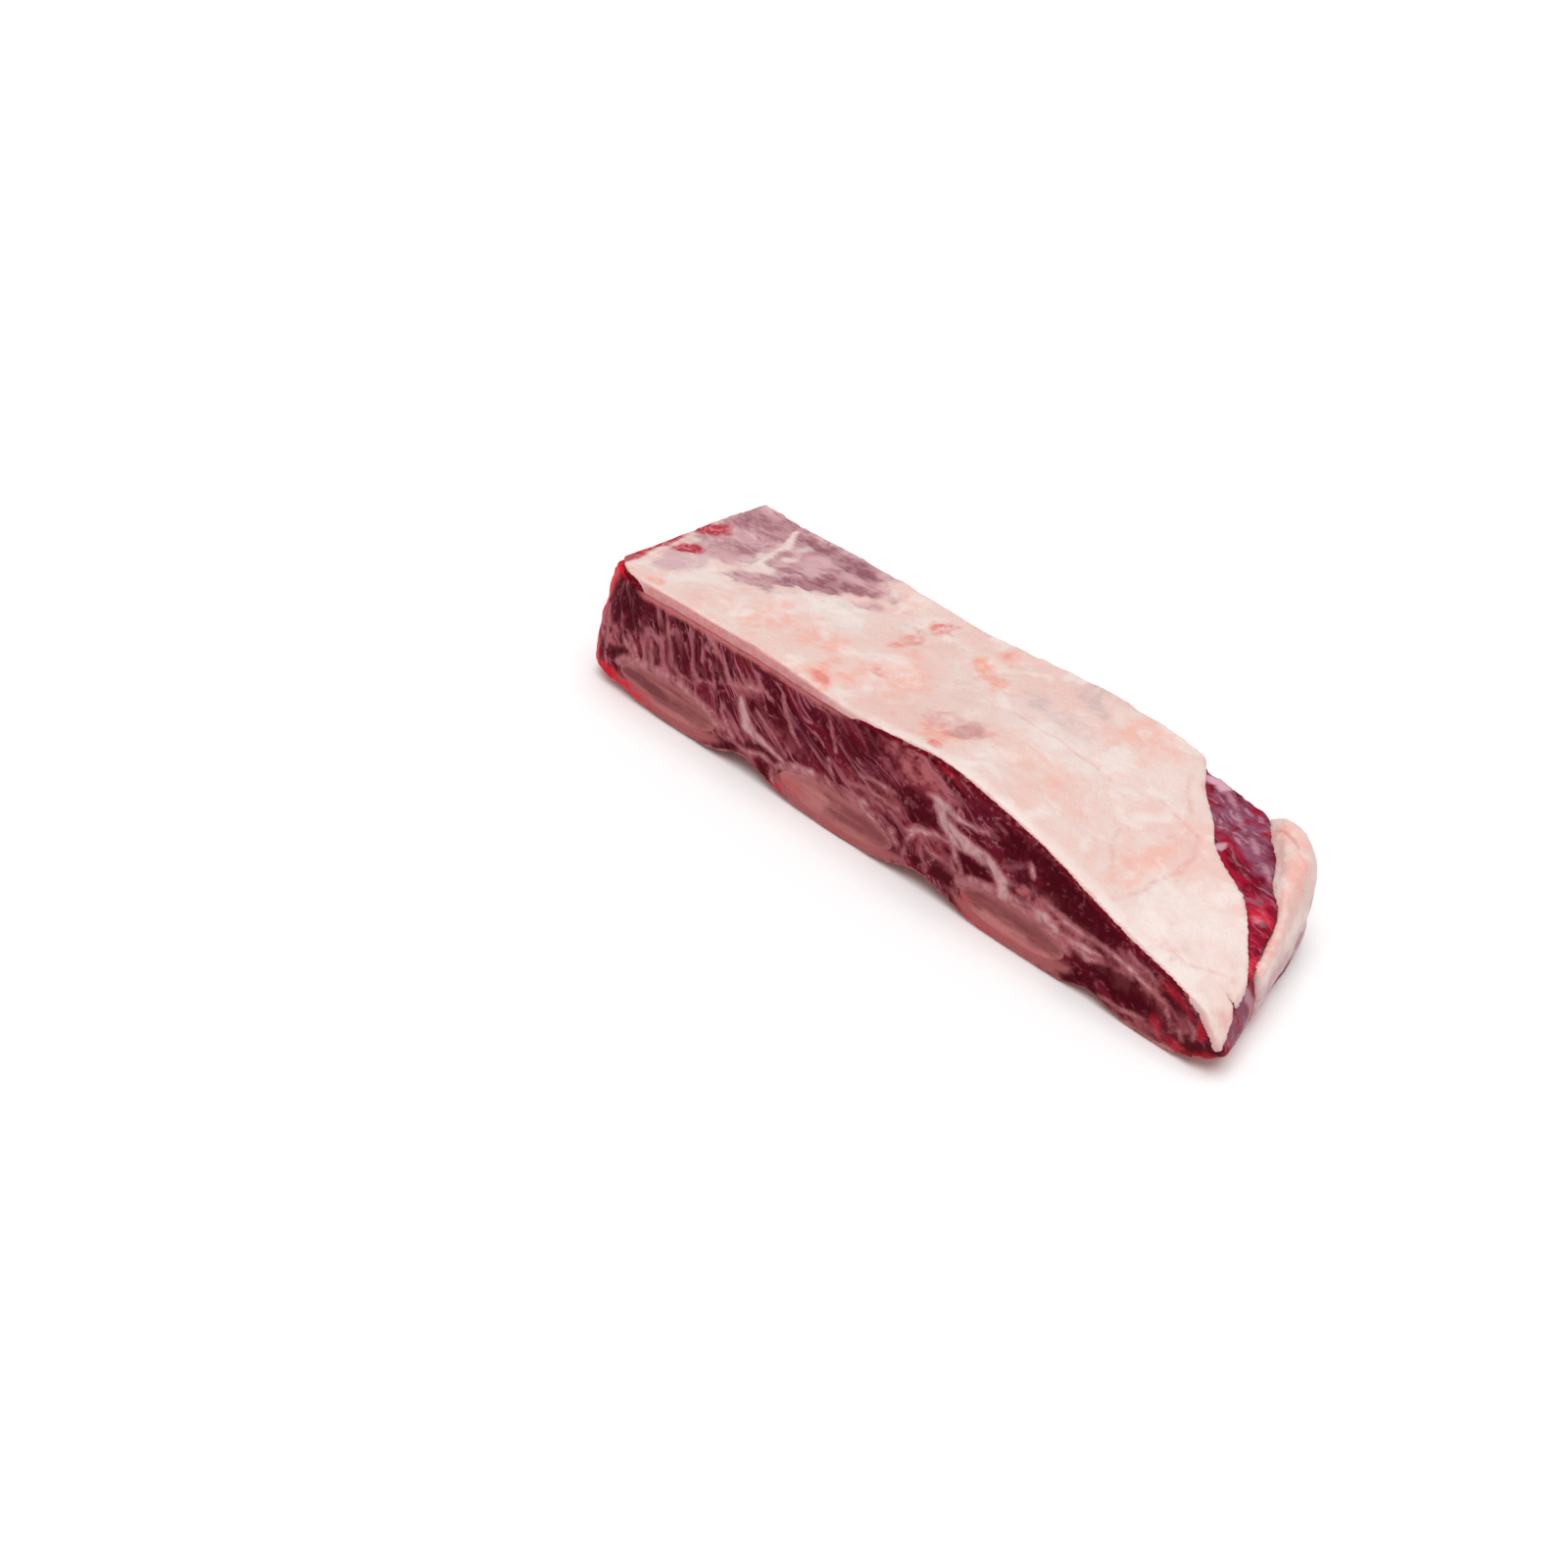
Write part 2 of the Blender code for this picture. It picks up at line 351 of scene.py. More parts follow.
moistForm = {
    # noises are (size, detail, roughness), in mm
    "wet": (0.22, 5.0, 0.6),
    "wetRange": (0.35, 0.65),
    "grit": (1.5, 5.0, 0.55),
    "soft": (0.35, 3.0, 0.5),
    "softShare": 1.4,
}


def makeMoistGroup(form):
    # moist surface: patchy gloss and a fine uneven skin
    inputs = {"Place": None, "Dry": 0.5, "Wet": 0.25}
    group, given, made = makeGroup("moistSkin", inputs, ["Roughness", "Height"])
    wet = noiseNode(group, given["Place"], *form["wet"])["Fac"]
    gloss = rangeNode(group, wet, *form["wetRange"], given["Wet"], given["Dry"], "LINEAR")
    grit = noiseNode(group, given["Place"], *form["grit"])["Fac"]
    soft = noiseNode(group, given["Place"], *form["soft"])["Fac"]
    group.links.new(gloss, made["Roughness"])
    group.links.new(mathNode(group, "MULTIPLY_ADD", soft, form["softShare"], grit), made["Height"])
    layOut(group)
    return group


spotGroup = makeSpotGroup()
strandGroup = makeStrandGroup(strandForm)
moistGroup = makeMoistGroup(moistForm)


def newMaterial(name, look, viewColor):
    material = bpy.data.materials.new(name)
    material.use_nodes = True
    material.diffuse_color = look[viewColor]
    tree = material.node_tree
    place = turnedPlace(tree, addNode(tree, "ShaderNodeTexCoord").outputs["Object"], (1000, 1000, 1000))

    def spots(row, where=place):
        # a patchy mask from its row in the look: (size, detail, low, high, smear)
        if isinstance(row, str):
            row = look["spots"][row]
        values = dict(zip(("Size", "Detail", "Low", "High", "Smear"), row))
        return useGroup(tree, spotGroup, Place=where, **values)["Mask"]

    return material, tree, tree.nodes["Principled BSDF"], place, spots


def finishShader(tree, shader, color, roughness, height, look):
    strength, distance = look["bump"]
    bump = addNode(tree, "ShaderNodeBump", Strength=strength, Distance=distance, Height=height)
    tree.links.new(color, shader.inputs["Base Color"])
    tree.links.new(roughness, shader.inputs["Roughness"])
    tree.links.new(bump.outputs["Normal"], shader.inputs["Normal"])
    for name, value in look["surface"].items():
        shader.inputs[name].default_value = value
    layOut(tree)


# the lean: marbled muscle with a bare band on top of its slanting end

leanLook = {
    "deep": shadedColor(64, 6, 16),
    "crimson": shadedColor(102, 20, 34),
    "purple": shadedColor(88, 18, 38),
    "strand": shadedColor(164, 96, 106),
    "pinkMeat": shadedColor(164, 90, 94),
    "underFat": shadedColor(176, 98, 101),
    "seamThin": shadedColor(160, 94, 99),
    "seamFat": shadedColor(188, 148, 149),
    "membraneDeep": shadedColor(150, 62, 64),
    "membranePale": shadedColor(194, 124, 120),
    "ribSkin": shadedColor(158, 88, 89),
    "rimRed": shadedColor(200, 14, 36),
    "bandDark": screenColor(104, 8, 30),
    "bandCrimson": screenColor(158, 20, 50),
    "bandRed": screenColor(214, 44, 66),
    "bandPurple": screenColor(140, 82, 106),
    # pale lilac pink, for pale skin on the band and for the painted highlights on its wet meat
    "bandPale": screenColor(212, 166, 182),
    "spots": {
        # rows are (size, detail, low, high, smear)
        "broad": (0.11, 4, 0.4, 0.62, 0),
        "bundles": (0.9, 5, 0.38, 0.64, 0),
        "strokes": (1.7, 3, 0.5, 0.63, 0.7),
        "clusters": (0.6, 3, 0.38, 0.6, 0),
        "flecks": (0.62, 3, 0.56, 0.7, 0.4),
        "smearSpots": (0.3, 6, 0.32, 0.6, 0.5),
        "seamSpots": (0.35, 5, 0.32, 0.6, 0.5),
        "seamBreaks": (1.3, 4, 0.5, 0.64, 0.6),
        "underSpots": (0.4, 5, 0.3, 0.55, 0.4),
        "bandSpots": (0.45, 5, 0.38, 0.6, 0.8),
        # the pale streaks on the band: painted highlights, and ridges in the relief
        "bandLines": (0.6, 4, 0.52, 0.66, 1.2),
        "skin": (0.3, 6, 0.3, 0.62, 0),
        "redSpots": (0.5, 5, 0.3, 0.55, 0.5),
    },
    "strandForm": {"Shift": 0.0, "Scale": 0.8, "Gaps": 0.49},
    "thinForm": {"Shift": 5.3, "Scale": 2.1, "Gaps": 0.46},
    "strandWidth": 0.06,
    "gloss": {"Dry": 0.5, "Wet": 0.24},
    "wetCoat": 0.14,
    "bump": (0.5, 0.00035),
    "surface": {
        "Subsurface Weight": 0.1,
        "Subsurface Radius": (1.0, 0.25, 0.2),
        "Subsurface Scale": 0.0014,
        "Coat Roughness": 0.16,
        "Specular IOR Level": 0.008,
    },
}


def makeLeanMaterial(look):
    material, tree, shader, place, spots = newMaterial("leanFinish", look, "crimson")
    grain = addNode(tree, "ShaderNodeAttribute", {"attribute_name": "grainSpace"}).outputs["Vector"]
    broad = spots("broad")
    bundles = spots("bundles", grain)
    color = mixColors(tree, bundles, look["deep"], look["crimson"])
    color = tinted(tree, color, look["purple"], broad, 0.5)
    color = tinted(tree, color, look["deep"], maskOf(tree, "darkMeat"), 0.9)

    # fine marbling, then the smears of pale meat, then the seams that are drawn one by one
    veined = maskOf(tree, "marbled")
    width = mathNode(tree, "MULTIPLY", veined, look["strandWidth"])
    strands = useGroup(tree, strandGroup, Grain=grain, Width=width, **look["strandForm"])["Mask"]
    thinStrands = useGroup(tree, strandGroup, Grain=grain, Width=width, **look["thinForm"])["Mask"]
    longGrain = turnedPlace(tree, grain, (1.0, 1.0, 0.5))
    strokes = spots("strokes", longGrain)
    clusters = spots("clusters", grain)
    clusters = mathNode(tree, "MULTIPLY_ADD", clusters, 0.65, 0.35)
    strokes = mathNode(tree, "MULTIPLY", strokes, mathNode(tree, "MULTIPLY", veined, clusters))
    flecks = spots("flecks")
    flecks = mathNode(tree, "MULTIPLY", flecks, maskOf(tree, "flecked"))
    marbling = mathNode(tree, "MAXIMUM", strands, mathNode(tree, "MULTIPLY", thinStrands, 0.25))
    marbling = mathNode(tree, "MAXIMUM", marbling, strokes)
    marbling = mathNode(tree, "MAXIMUM", marbling, flecks)
    color = tinted(tree, color, look["strand"], marbling, 0.78)
    color = tinted(tree, color, look["pinkMeat"], maskOf(tree, "pinkMeat"), spots("smearSpots"))

    # the drawn seams, broken up along the grain
    ragged = noiseNode(tree, place, 0.42, 4.0, 0.55, 0.3)["Fac"]
    ragged = mathNode(tree, "MULTIPLY_ADD", ragged, 1.5, -0.75)
    seam = mathNode(tree, "ADD", maskOf(tree, "seamDepth"), ragged)
    seamEdge = rangeNode(tree, seam, -0.8, 0.6)
    seamHeart = rangeNode(tree, seam, 0.1, 1.1)
    seamSpots = spots("seamSpots")
    seamTone = mathNode(tree, "MULTIPLY", seamHeart, mathNode(tree, "MULTIPLY_ADD", seamSpots, 0.6, 0.4))
    seamColor = mixColors(tree, seamTone, look["seamThin"], look["seamFat"])
    seamCover = mathNode(tree, "MULTIPLY_ADD", spots("seamBreaks", longGrain), -0.5, 0.92)
    color = tinted(tree, color, seamColor, seamEdge, seamCover)

    # the pink edge that the cap leaves on the lean
    underShare = mathNode(tree, "MULTIPLY_ADD", spots("underSpots"), 0.3, 0.7)
    color = tinted(tree, color, look["underFat"], maskOf(tree, "underFat"), underShare)

    # what shows outside the sawn faces
    bandGrain = turnedPlace(tree, place, (0.3, 0.9, 0.5), (0, 0, 0.85))
    bandSpots = spots("bandSpots", bandGrain)
    bandLines = spots("bandLines", bandGrain)
    onBand = maskOf(tree, "bareBand")
    bandColor = mixColors(tree, bandSpots, look["bandDark"], look["bandCrimson"])
    bandColor = tinted(tree, bandColor, look["bandRed"], maskOf(tree, "bandRed"), 0.85)
    purple = maskOf(tree, "bandPurple")
    purpleShare = mathNode(tree, "MULTIPLY_ADD", bandSpots, 0.45, 0.55)
    bandColor = tinted(tree, bandColor, look["bandPurple"], purple, purpleShare)
    # pale lines and flecks on the bare band are painted highlights on the wet meat, lilac where it is
    # purple; the pale patches are partly pale skin, partly painted highlight
    paleLines = mathNode(tree, "MULTIPLY", bandLines, mathNode(tree, "MULTIPLY_ADD", purple, 0.25, 0.2))
    paleShare = mathNode(tree, "MAXIMUM", paleLines, maskOf(tree, "bandPale"))
    bandColor = mixColors(tree, paleShare, bandColor, look["bandPale"])
    color = mixColors(tree, onBand, color, bandColor)
    skin = spots("skin")
    skinTone = mixColors(tree, skin, look["membraneDeep"], look["membranePale"])
    color = mixColors(tree, maskOf(tree, "membrane"), color, skinTone)
    color = mixColors(tree, maskOf(tree, "ribSkin"), color, look["ribSkin"])
    redShare = mathNode(tree, "MULTIPLY_ADD", spots("redSpots"), 0.5, 0.5)
    color = tinted(tree, color, look["rimRed"], maskOf(tree, "redRim"), redShare)

    moist = useGroup(tree, moistGroup, Place=place, **look["gloss"])
    wetCoat = mathNode(tree, "MULTIPLY", maskOf(tree, "wetMeat"), look["wetCoat"])
    tree.links.new(wetCoat, shader.inputs["Coat Weight"])
    height = mathNode(tree, "MULTIPLY_ADD", seamEdge, 0.9, moist["Height"])
    height = mathNode(tree, "MULTIPLY_ADD", marbling, 0.5, height)
    height = mathNode(tree, "MULTIPLY_ADD", mathNode(tree, "MULTIPLY", bandLines, onBand), 0.9, height)
    finishShader(tree, shader, color, moist["Roughness"], height, look)
    return material


leanPiece = {
    "voxel": 0.00068,
    "smoothRounds": 4,
    "boneGrow": 0.0006,
    "seamRelief": 0.2,
    "lumpHeight": 0.35,
    "raggedness": {"bandPurple": 1.3, "bandPale": 1.2, "bandRed": 1.6, "bandDark": 1.2},
    # the two rows of each: how far along, and the value there
    "marbledAlong": ([0, 60, 75, 105, 130, 170], [1.15, 1.05, 0.8, 0.8, 0.6, 0.6]),
    "fleckedAlong": ([0, 95, 125, 160, 180], [0.35, 0.45, 0.8, 0.45, 0.5]),
    "bundleSize": ([0, 50, 72, 98, 125, 160, 210], [4.0, 4.2, 6.4, 6.8, 6.0, 9.0, 9.0]),
    "bundleHeight": ([0, 95, 125, 160, 210], [8.0, 7.0, 4.6, 3.2, 3.0]),
    "bundleDrop": ([0, 110, 150, 210], [0, 0, 0.3, 0.3]),
    "bundleTilt": ([0, 30, 45, 58, 72, 98, 112, 128, 140], [0.02, 0.3, 0.6, 1.1, 1.6, 1.7, 1.1, 0.5, 0]),
    # how far the red crust of the square end reaches along, at each height
    "crust": ([0, 9, 12, 14, 19, 21, 26, 34], [4.2, 4.0, 2.4, 1.3, 1.3, 3.4, 4.6, 5.4]),
    # fat seams on the sawn face: rows are (along, up, half width) in mm
    "seams": [
        [(24.2, 33.2, 0.5), (25.4, 26, 0.45), (27.2, 18.5, 0.5), (30, 15.8, 0.4)],
        [(38.6, 33, 0.6), (42.6, 30, 0.5), (45.4, 27.2, 0.55), (47.2, 23.6, 0.45)],
        [(31.2, 26, 0.35), (34, 20.6, 0.4)],
        [(37.6, 29, 0.35), (37.8, 24.4, 0.4)],
        [(29.4, 16.6, 0.4), (35.8, 16.8, 0.35), (38.2, 19.4, 0.3)],
        [(18.4, 23.4, 0.3), (19.4, 14.6, 0.45)],
        [(23.2, 24.2, 0.35), (22.6, 18.8, 0.35)],
        [(11.6, 18.4, 0.7), (13.2, 15.6, 0.6), (15.6, 12.4, 0.5)],
        [(46.6, 22.4, 0.4), (51.6, 24, 0.5), (55.4, 26, 0.9), (60.8, 26.8, 0.6)],
        [(66.4, 28.8, 0.6), (67.4, 25.8, 0.7)],
        [(67.8, 24.8, 0.35), (69.8, 20.2, 0.45), (72.4, 17.8, 0.3)],
        [(79.2, 31.6, 0.4), (82, 27.6, 0.5), (84, 22.6, 0.45)],
        [(81.6, 19.4, 0.4), (84.2, 14.6, 0.6)],
        [
            (52.4, 21, 0.9), (53.2, 17.6, 1.7), (54.8, 14.4, 2.6), (57.6, 13.2, 1.8), (61.6, 12.6, 1.0),
            (66.2, 11.4, 0.7), (70.6, 11.4, 0.4),
        ],
        [(58, 20.4, 0.3), (63, 16.4, 0.4), (68, 13.2, 0.4)],
        [(92.6, 13.6, 0.7), (94.4, 14.4, 1.2), (96.6, 14.6, 0.7)],
        [(92.6, 20.8, 0.4), (98, 21.4, 0.5), (103, 21, 0.3)],
        [(89.6, 17, 0.3), (95.8, 18.2, 0.45), (104.6, 17.2, 0.35)],
        # round the first bone and between it and the next
        [
            (12.4, 12.6, 0.3), (18, 13.9, 0.35), (26.6, 14.9, 0.45), (35, 14.4, 0.35), (42.6, 12.4, 0.4),
            (46.8, 9.6, 0.5),
        ],
        [(46, 13.4, 0.5), (48.4, 10.2, 0.7), (50.6, 7.6, 0.5)],
        [(48.6, 7.4, 0.4), (54.6, 7.4, 0.4), (60, 8.8, 0.5), (64.8, 8.2, 0.5), (67, 6.2, 0.4)],
        [(56.4, 6.8, 0.35), (57.8, 5.6, 0.3)],
        [(63.6, 8, 0.4), (64.4, 4, 0.5), (66.4, 1.8, 0.3)],
        [
            (70.4, 9.6, 0.5), (75.6, 12.4, 0.6), (82, 13.9, 0.4), (90, 14.3, 0.35), (98, 13.3, 0.4),
            (104.6, 11.6, 0.5),
        ],
        # the hooked seam and its branches
        [(113.4, 26.6, 0.8), (116.2, 26.4, 1.7), (120.4, 25.4, 1.3), (125, 25.2, 0.8), (131, 25.6, 0.5)],
        [
            (116.4, 25, 1.8), (118.2, 21.8, 2.0), (122, 19.6, 2.2), (127.6, 19.4, 1.9), (133, 18.8, 2.0),
            (136.6, 16, 2.2), (138, 13, 2.2), (136.6, 10.6, 1.2),
        ],
        [(119.2, 19.4, 0.8), (122, 16.8, 0.8), (124, 13.8, 0.6), (125, 10.2, 0.6), (126.4, 8.6, 0.4)],
        [(107.8, 13.4, 0.4), (110.6, 15, 0.9), (115, 16.8, 0.6), (120.6, 17.6, 0.6)],
        [(110.4, 14.4, 0.7), (108.4, 10.6, 0.7), (107.6, 6.4, 0.5), (109, 4.4, 0.3)],
        [(112.2, 13.4, 0.5), (113.4, 9.8, 0.5), (114.6, 6, 0.4)],
        [(114.6, 11.8, 0.5), (119, 12.4, 0.4), (123.2, 11.4, 0.5), (125.6, 8.4, 0.4)],
        [(143.2, 24.2, 0.8), (144, 22.4, 0.9)],
        [
            (140, 13.6, 0.6), (144.6, 14.6, 1.0), (149, 14.2, 1.5), (153, 12.8, 1.0), (158, 12.6, 0.8),
            (165, 13, 0.6),
        ],
        [(131, 30.2, 0.3), (136, 28.6, 0.35)],
        # the slanting end
        [
            (152, 17.6, 0.2), (160, 16.2, 0.5), (167, 15.8, 0.8), (173, 14.4, 1.0), (178.6, 12.8, 0.6),
            (182.2, 11.4, 0.2),
        ],
        [(182.6, 10.8, 0.3), (184.2, 8, 0.5), (184.8, 5, 0.2)],
        [(172, 18.6, 0.2), (176, 16.8, 0.3), (180.4, 15.4, 0.1)],
        [(148, 17.6, 0.4), (154, 16.4, 0.5), (160, 15.8, 0.5), (166, 16.6, 0.5)],
        [(157.6, 12, 0.4), (162, 10.6, 0.5), (166.2, 12, 0.4)],
        [(166.4, 3.6, 0.4), (172.4, 3.2, 0.7), (178.6, 5.2, 0.5)],
        [(188.2, 12, 0.2), (190.6, 9.8, 0.5), (190, 7.6, 0.2)],
        [(184.6, 5, 0.2), (187, 7.6, 0.4), (188, 5, 0.2)],
        # by the square end
        [(8.6, 17.6, 0.3), (10.4, 15.4, 0.6), (12.6, 13, 0.5)],
    ],
    # rows are (along, up, radius along, radius up, turn, strength)
    "pinkMeat": [
        (109, 31, 10, 4.6, -8, 0.95), (104, 26.6, 8, 2.4, -6, 0.4), (53, 24.4, 8, 2.6, 12, 0.5),
        (66, 17, 9, 3.4, -20, 0.3), (98, 17.6, 12, 3, -4, 0.4), (52, 9.4, 9, 4.4, 10, 0.45),
        (160, 14.6, 20, 3.8, -9, 1), (178, 14.6, 7, 2.0, -26, 0.7), (186, 9, 3, 4, -60, 0.35),
        (178, 3.6, 4, 2.6, 30, 0.5), (116, 9, 9, 6, 0, 0.15), (147, 12, 10, 3, 0, 0.6),
        (3.4, 17, 7.4, 4.6, 0, 1), (26, 17, 14, 2.6, -8, 0.25), (116, 14.6, 8, 3, -10, 0.4),
    ],
    "darkMeat": [
        (156, 22, 17, 6.4, -24, 1), (110, 22.4, 6, 4, -20, 0.9), (10, 28, 7.4, 8, 0, 1),
        (128, 14.2, 5, 3.4, 0, 1), (120, 8, 4, 2.4, 0, 1), (104, 6.4, 5, 1.8, 8, 0.9),
        (112, 7.4, 2, 2, 0, 0.9), (59, 9.9, 7, 1.8, 8, 1), (61, 5.4, 2.4, 2.2, 0, 0.9),
        (7.6, 11.8, 4.8, 2.6, 20, 1), (171.6, 9.2, 10, 3.6, -8, 1), (184, 13.6, 4, 2.2, -30, 0.7),
        (190, 5, 4, 3, 0, 0.8), (121, 23, 2.6, 1.3, 10, 1), (66, 21.6, 9, 3.4, -16, 0.6),
        (90, 27, 8, 4, 0, 0.5), (32, 24, 8, 6, 0, 0.4), (161, 6, 4, 2, 0, 0.9), (193, 6, 5, 2.4, 10, 0.6),
    ],
    "redRim": [
        (117.4, 35.2, 4.4, 0.9, -24, 0.5), (65.6, 2.4, 1.6, 2.4, 0, 0.6), (128, 1.2, 8, 1.2, -8, 0.5),
        (7, 3.4, 12, 2.2, -8, 0.9), (184, 15.4, 6, 1.2, -28, 0.4), (192, 10.6, 1.2, 3, 0, 0.4),
        (181, 5.6, 1.4, 2, 0, 0.35), (187, 3, 4, 1.2, 0, 0.35), (194.6, 4, 3, 2, 0, 0.5),
    ],
    # rows are (along, across, radius along, radius across, turn, strength)
    "bandPurple": [
        (161, 21.6, 9, 7, -30, 1), (168, 17.4, 7, 4.6, -30, 1), (174.4, 14, 4.4, 3.6, -40, 0.9),
        (179.4, 9.6, 3, 2.6, -40, 0.6), (190.2, -2.4, 1.8, 4, -20, 0.7), (194, -17, 1.8, 3.4, 0, 0.85),
        (195.8, -22, 2, 3.6, 0, 0.75),
    ],
    # pale patches on the band: pale skin in part, painted highlight in part
    "bandPale": [
        (151.8, 26.6, 3.6, 2.6, 0, 0.95), (157, 24.6, 3, 1.2, -30, 0.45), (163, 20.4, 3.4, 0.8, -34, 0.5),
        (169, 17.6, 2.4, 0.7, -30, 0.5), (164.8, 10.6, 0.9, 2, -10, 0.85), (176.4, 12.6, 2, 0.7, -40, 0.45),
        (187.6, 4.2, 1.0, 1.6, 0, 0.4), (193, -13, 1.4, 1.6, 0, 0.5), (190.8, -5, 0.8, 2, 0, 0.4),
        (184, 0.8, 1.6, 0.9, 0, 0.5),
    ],
    "bandRed": [
        (184, 2.4, 4, 3.4, -30, 1), (186.6, 5.2, 1.6, 2.6, 0, 1), (189.8, -8.4, 1.6, 5, -10, 0.9),
        (178.6, 15.8, 1.6, 2, 0, 0.7), (166, 12.4, 1.4, 2.4, 0, 0.5), (196, -26, 2, 3, 0, 0.3),
    ],
    "bandDark": [(171, 9, 8, 3.0, -36, 1), (187.4, -1.4, 2, 2, 0, 0.9), (178.4, 5.4, 3, 2, -36, 0.8)],
}

ribNames = {"rib_bone_left": "ribLeft", "rib_bone_middle": "ribMiddle", "rib_bone_right": "ribRight"}


def ribOvals():
    # middle and half sizes of the sawn ends of each rib, front and back
    ovals = []
    for name in ribNames:
        points, _ = meshPoints(nodes[name])
        for side in (-1, 1):
            ring = points[points[:, 1] * side > slabHalfWidth - 1]
            middle = (ring.max(axis=0) + ring.min(axis=0)) / 2
            half = (ring.max(axis=0) - ring.min(axis=0)) / 2
            ovals.append((side, middle[0], middle[2], half[0], half[2]))
    return ovals


def insideRibs(points, ovals):
    # how far inside the nearest rib's oval each point is, in mm
    best = np.full(len(points), -9.0)
    for side, middleS, middleZ, halfS, halfZ in ovals:
        u, v = (points[:, 0] - middleS) / halfS, (points[:, 2] - middleZ) / halfZ
        reach = np.maximum(np.hypot(u, v), 0.05)
        gap = np.minimum((1 - reach) * reach / np.maximum(np.hypot(u / halfS, v / halfZ), 0.005), halfZ)
        best = np.where(points[:, 1] * side > 0, np.maximum(best, gap), best)
    return best


def grainOf(points, settings):
    # bundles stand upright by the square end, lean over along the slab and lie along it by the slanting end
    s, y, z = points.T
    steps = np.arange(-10.0, 211.0, 1.0)
    sizeAlong = np.interp(steps, *settings["bundleSize"])
    sizeUp = np.interp(s, *settings["bundleHeight"])
    drop = np.cumsum(np.interp(steps, *settings["bundleDrop"]))
    tilt = np.interp(s, *settings["bundleTilt"])
    along = np.interp(s, steps, np.cumsum(1 / sizeAlong)) + tilt * (z - 18) / np.interp(s, steps, sizeAlong)
    up = (z - 18 + np.interp(s, steps, drop)) / sizeUp
    wave = 0.55 * noiseField(points, 9.0, 31, 2)
    return np.stack([along + wave, y / 12.0, up + wave], axis=1)


def belowEdge(points):
    # how far each point lies below the top edge of its long side, in mm
    s, y, z = points.T
    steps = np.arange(-8, 210, 2.0)
    slots = np.clip(((s + 8) / 2).astype(int), 0, len(steps) - 1)
    below = np.zeros(len(s))
    for side in (-1, 1):
        onSide = y * side > slabHalfWidth - 2
        edge = np.zeros(len(steps))
        np.maximum.at(edge, slots[onSide], z[onSide])
        known = edge > 0
        level = edge[known] - np.abs(np.gradient(edge[known])) / 2
        near = y * side > 0
        below[near] = np.interp(s[near], steps[known] + 1, level) - z[near]
    return below


def fromSquareEnd(points):
    # how far each point lies from the front edge of the square end, in mm, at its own height
    s, y, z = points.T
    levels = np.arange(40) + 0.5
    edge = np.full(40, 400.0)
    frontal = y < -10
    np.minimum.at(edge, np.clip(z[frontal].astype(int), 0, 39), s[frontal])
    return s - np.interp(z, levels[edge < 400], edge[edge < 400])


def endFatStart(across):
    # how far along the slab the fat at the slanting end begins
    points, _ = meshPoints(nodes["end_fat"])
    steps = np.arange(-10, 28, 2.0)
    starts = [points[np.abs(points[:, 1] - step) < 2.5, 0].min(initial=400) for step in steps]
    return np.interp(across, steps, starts, left=400, right=400)


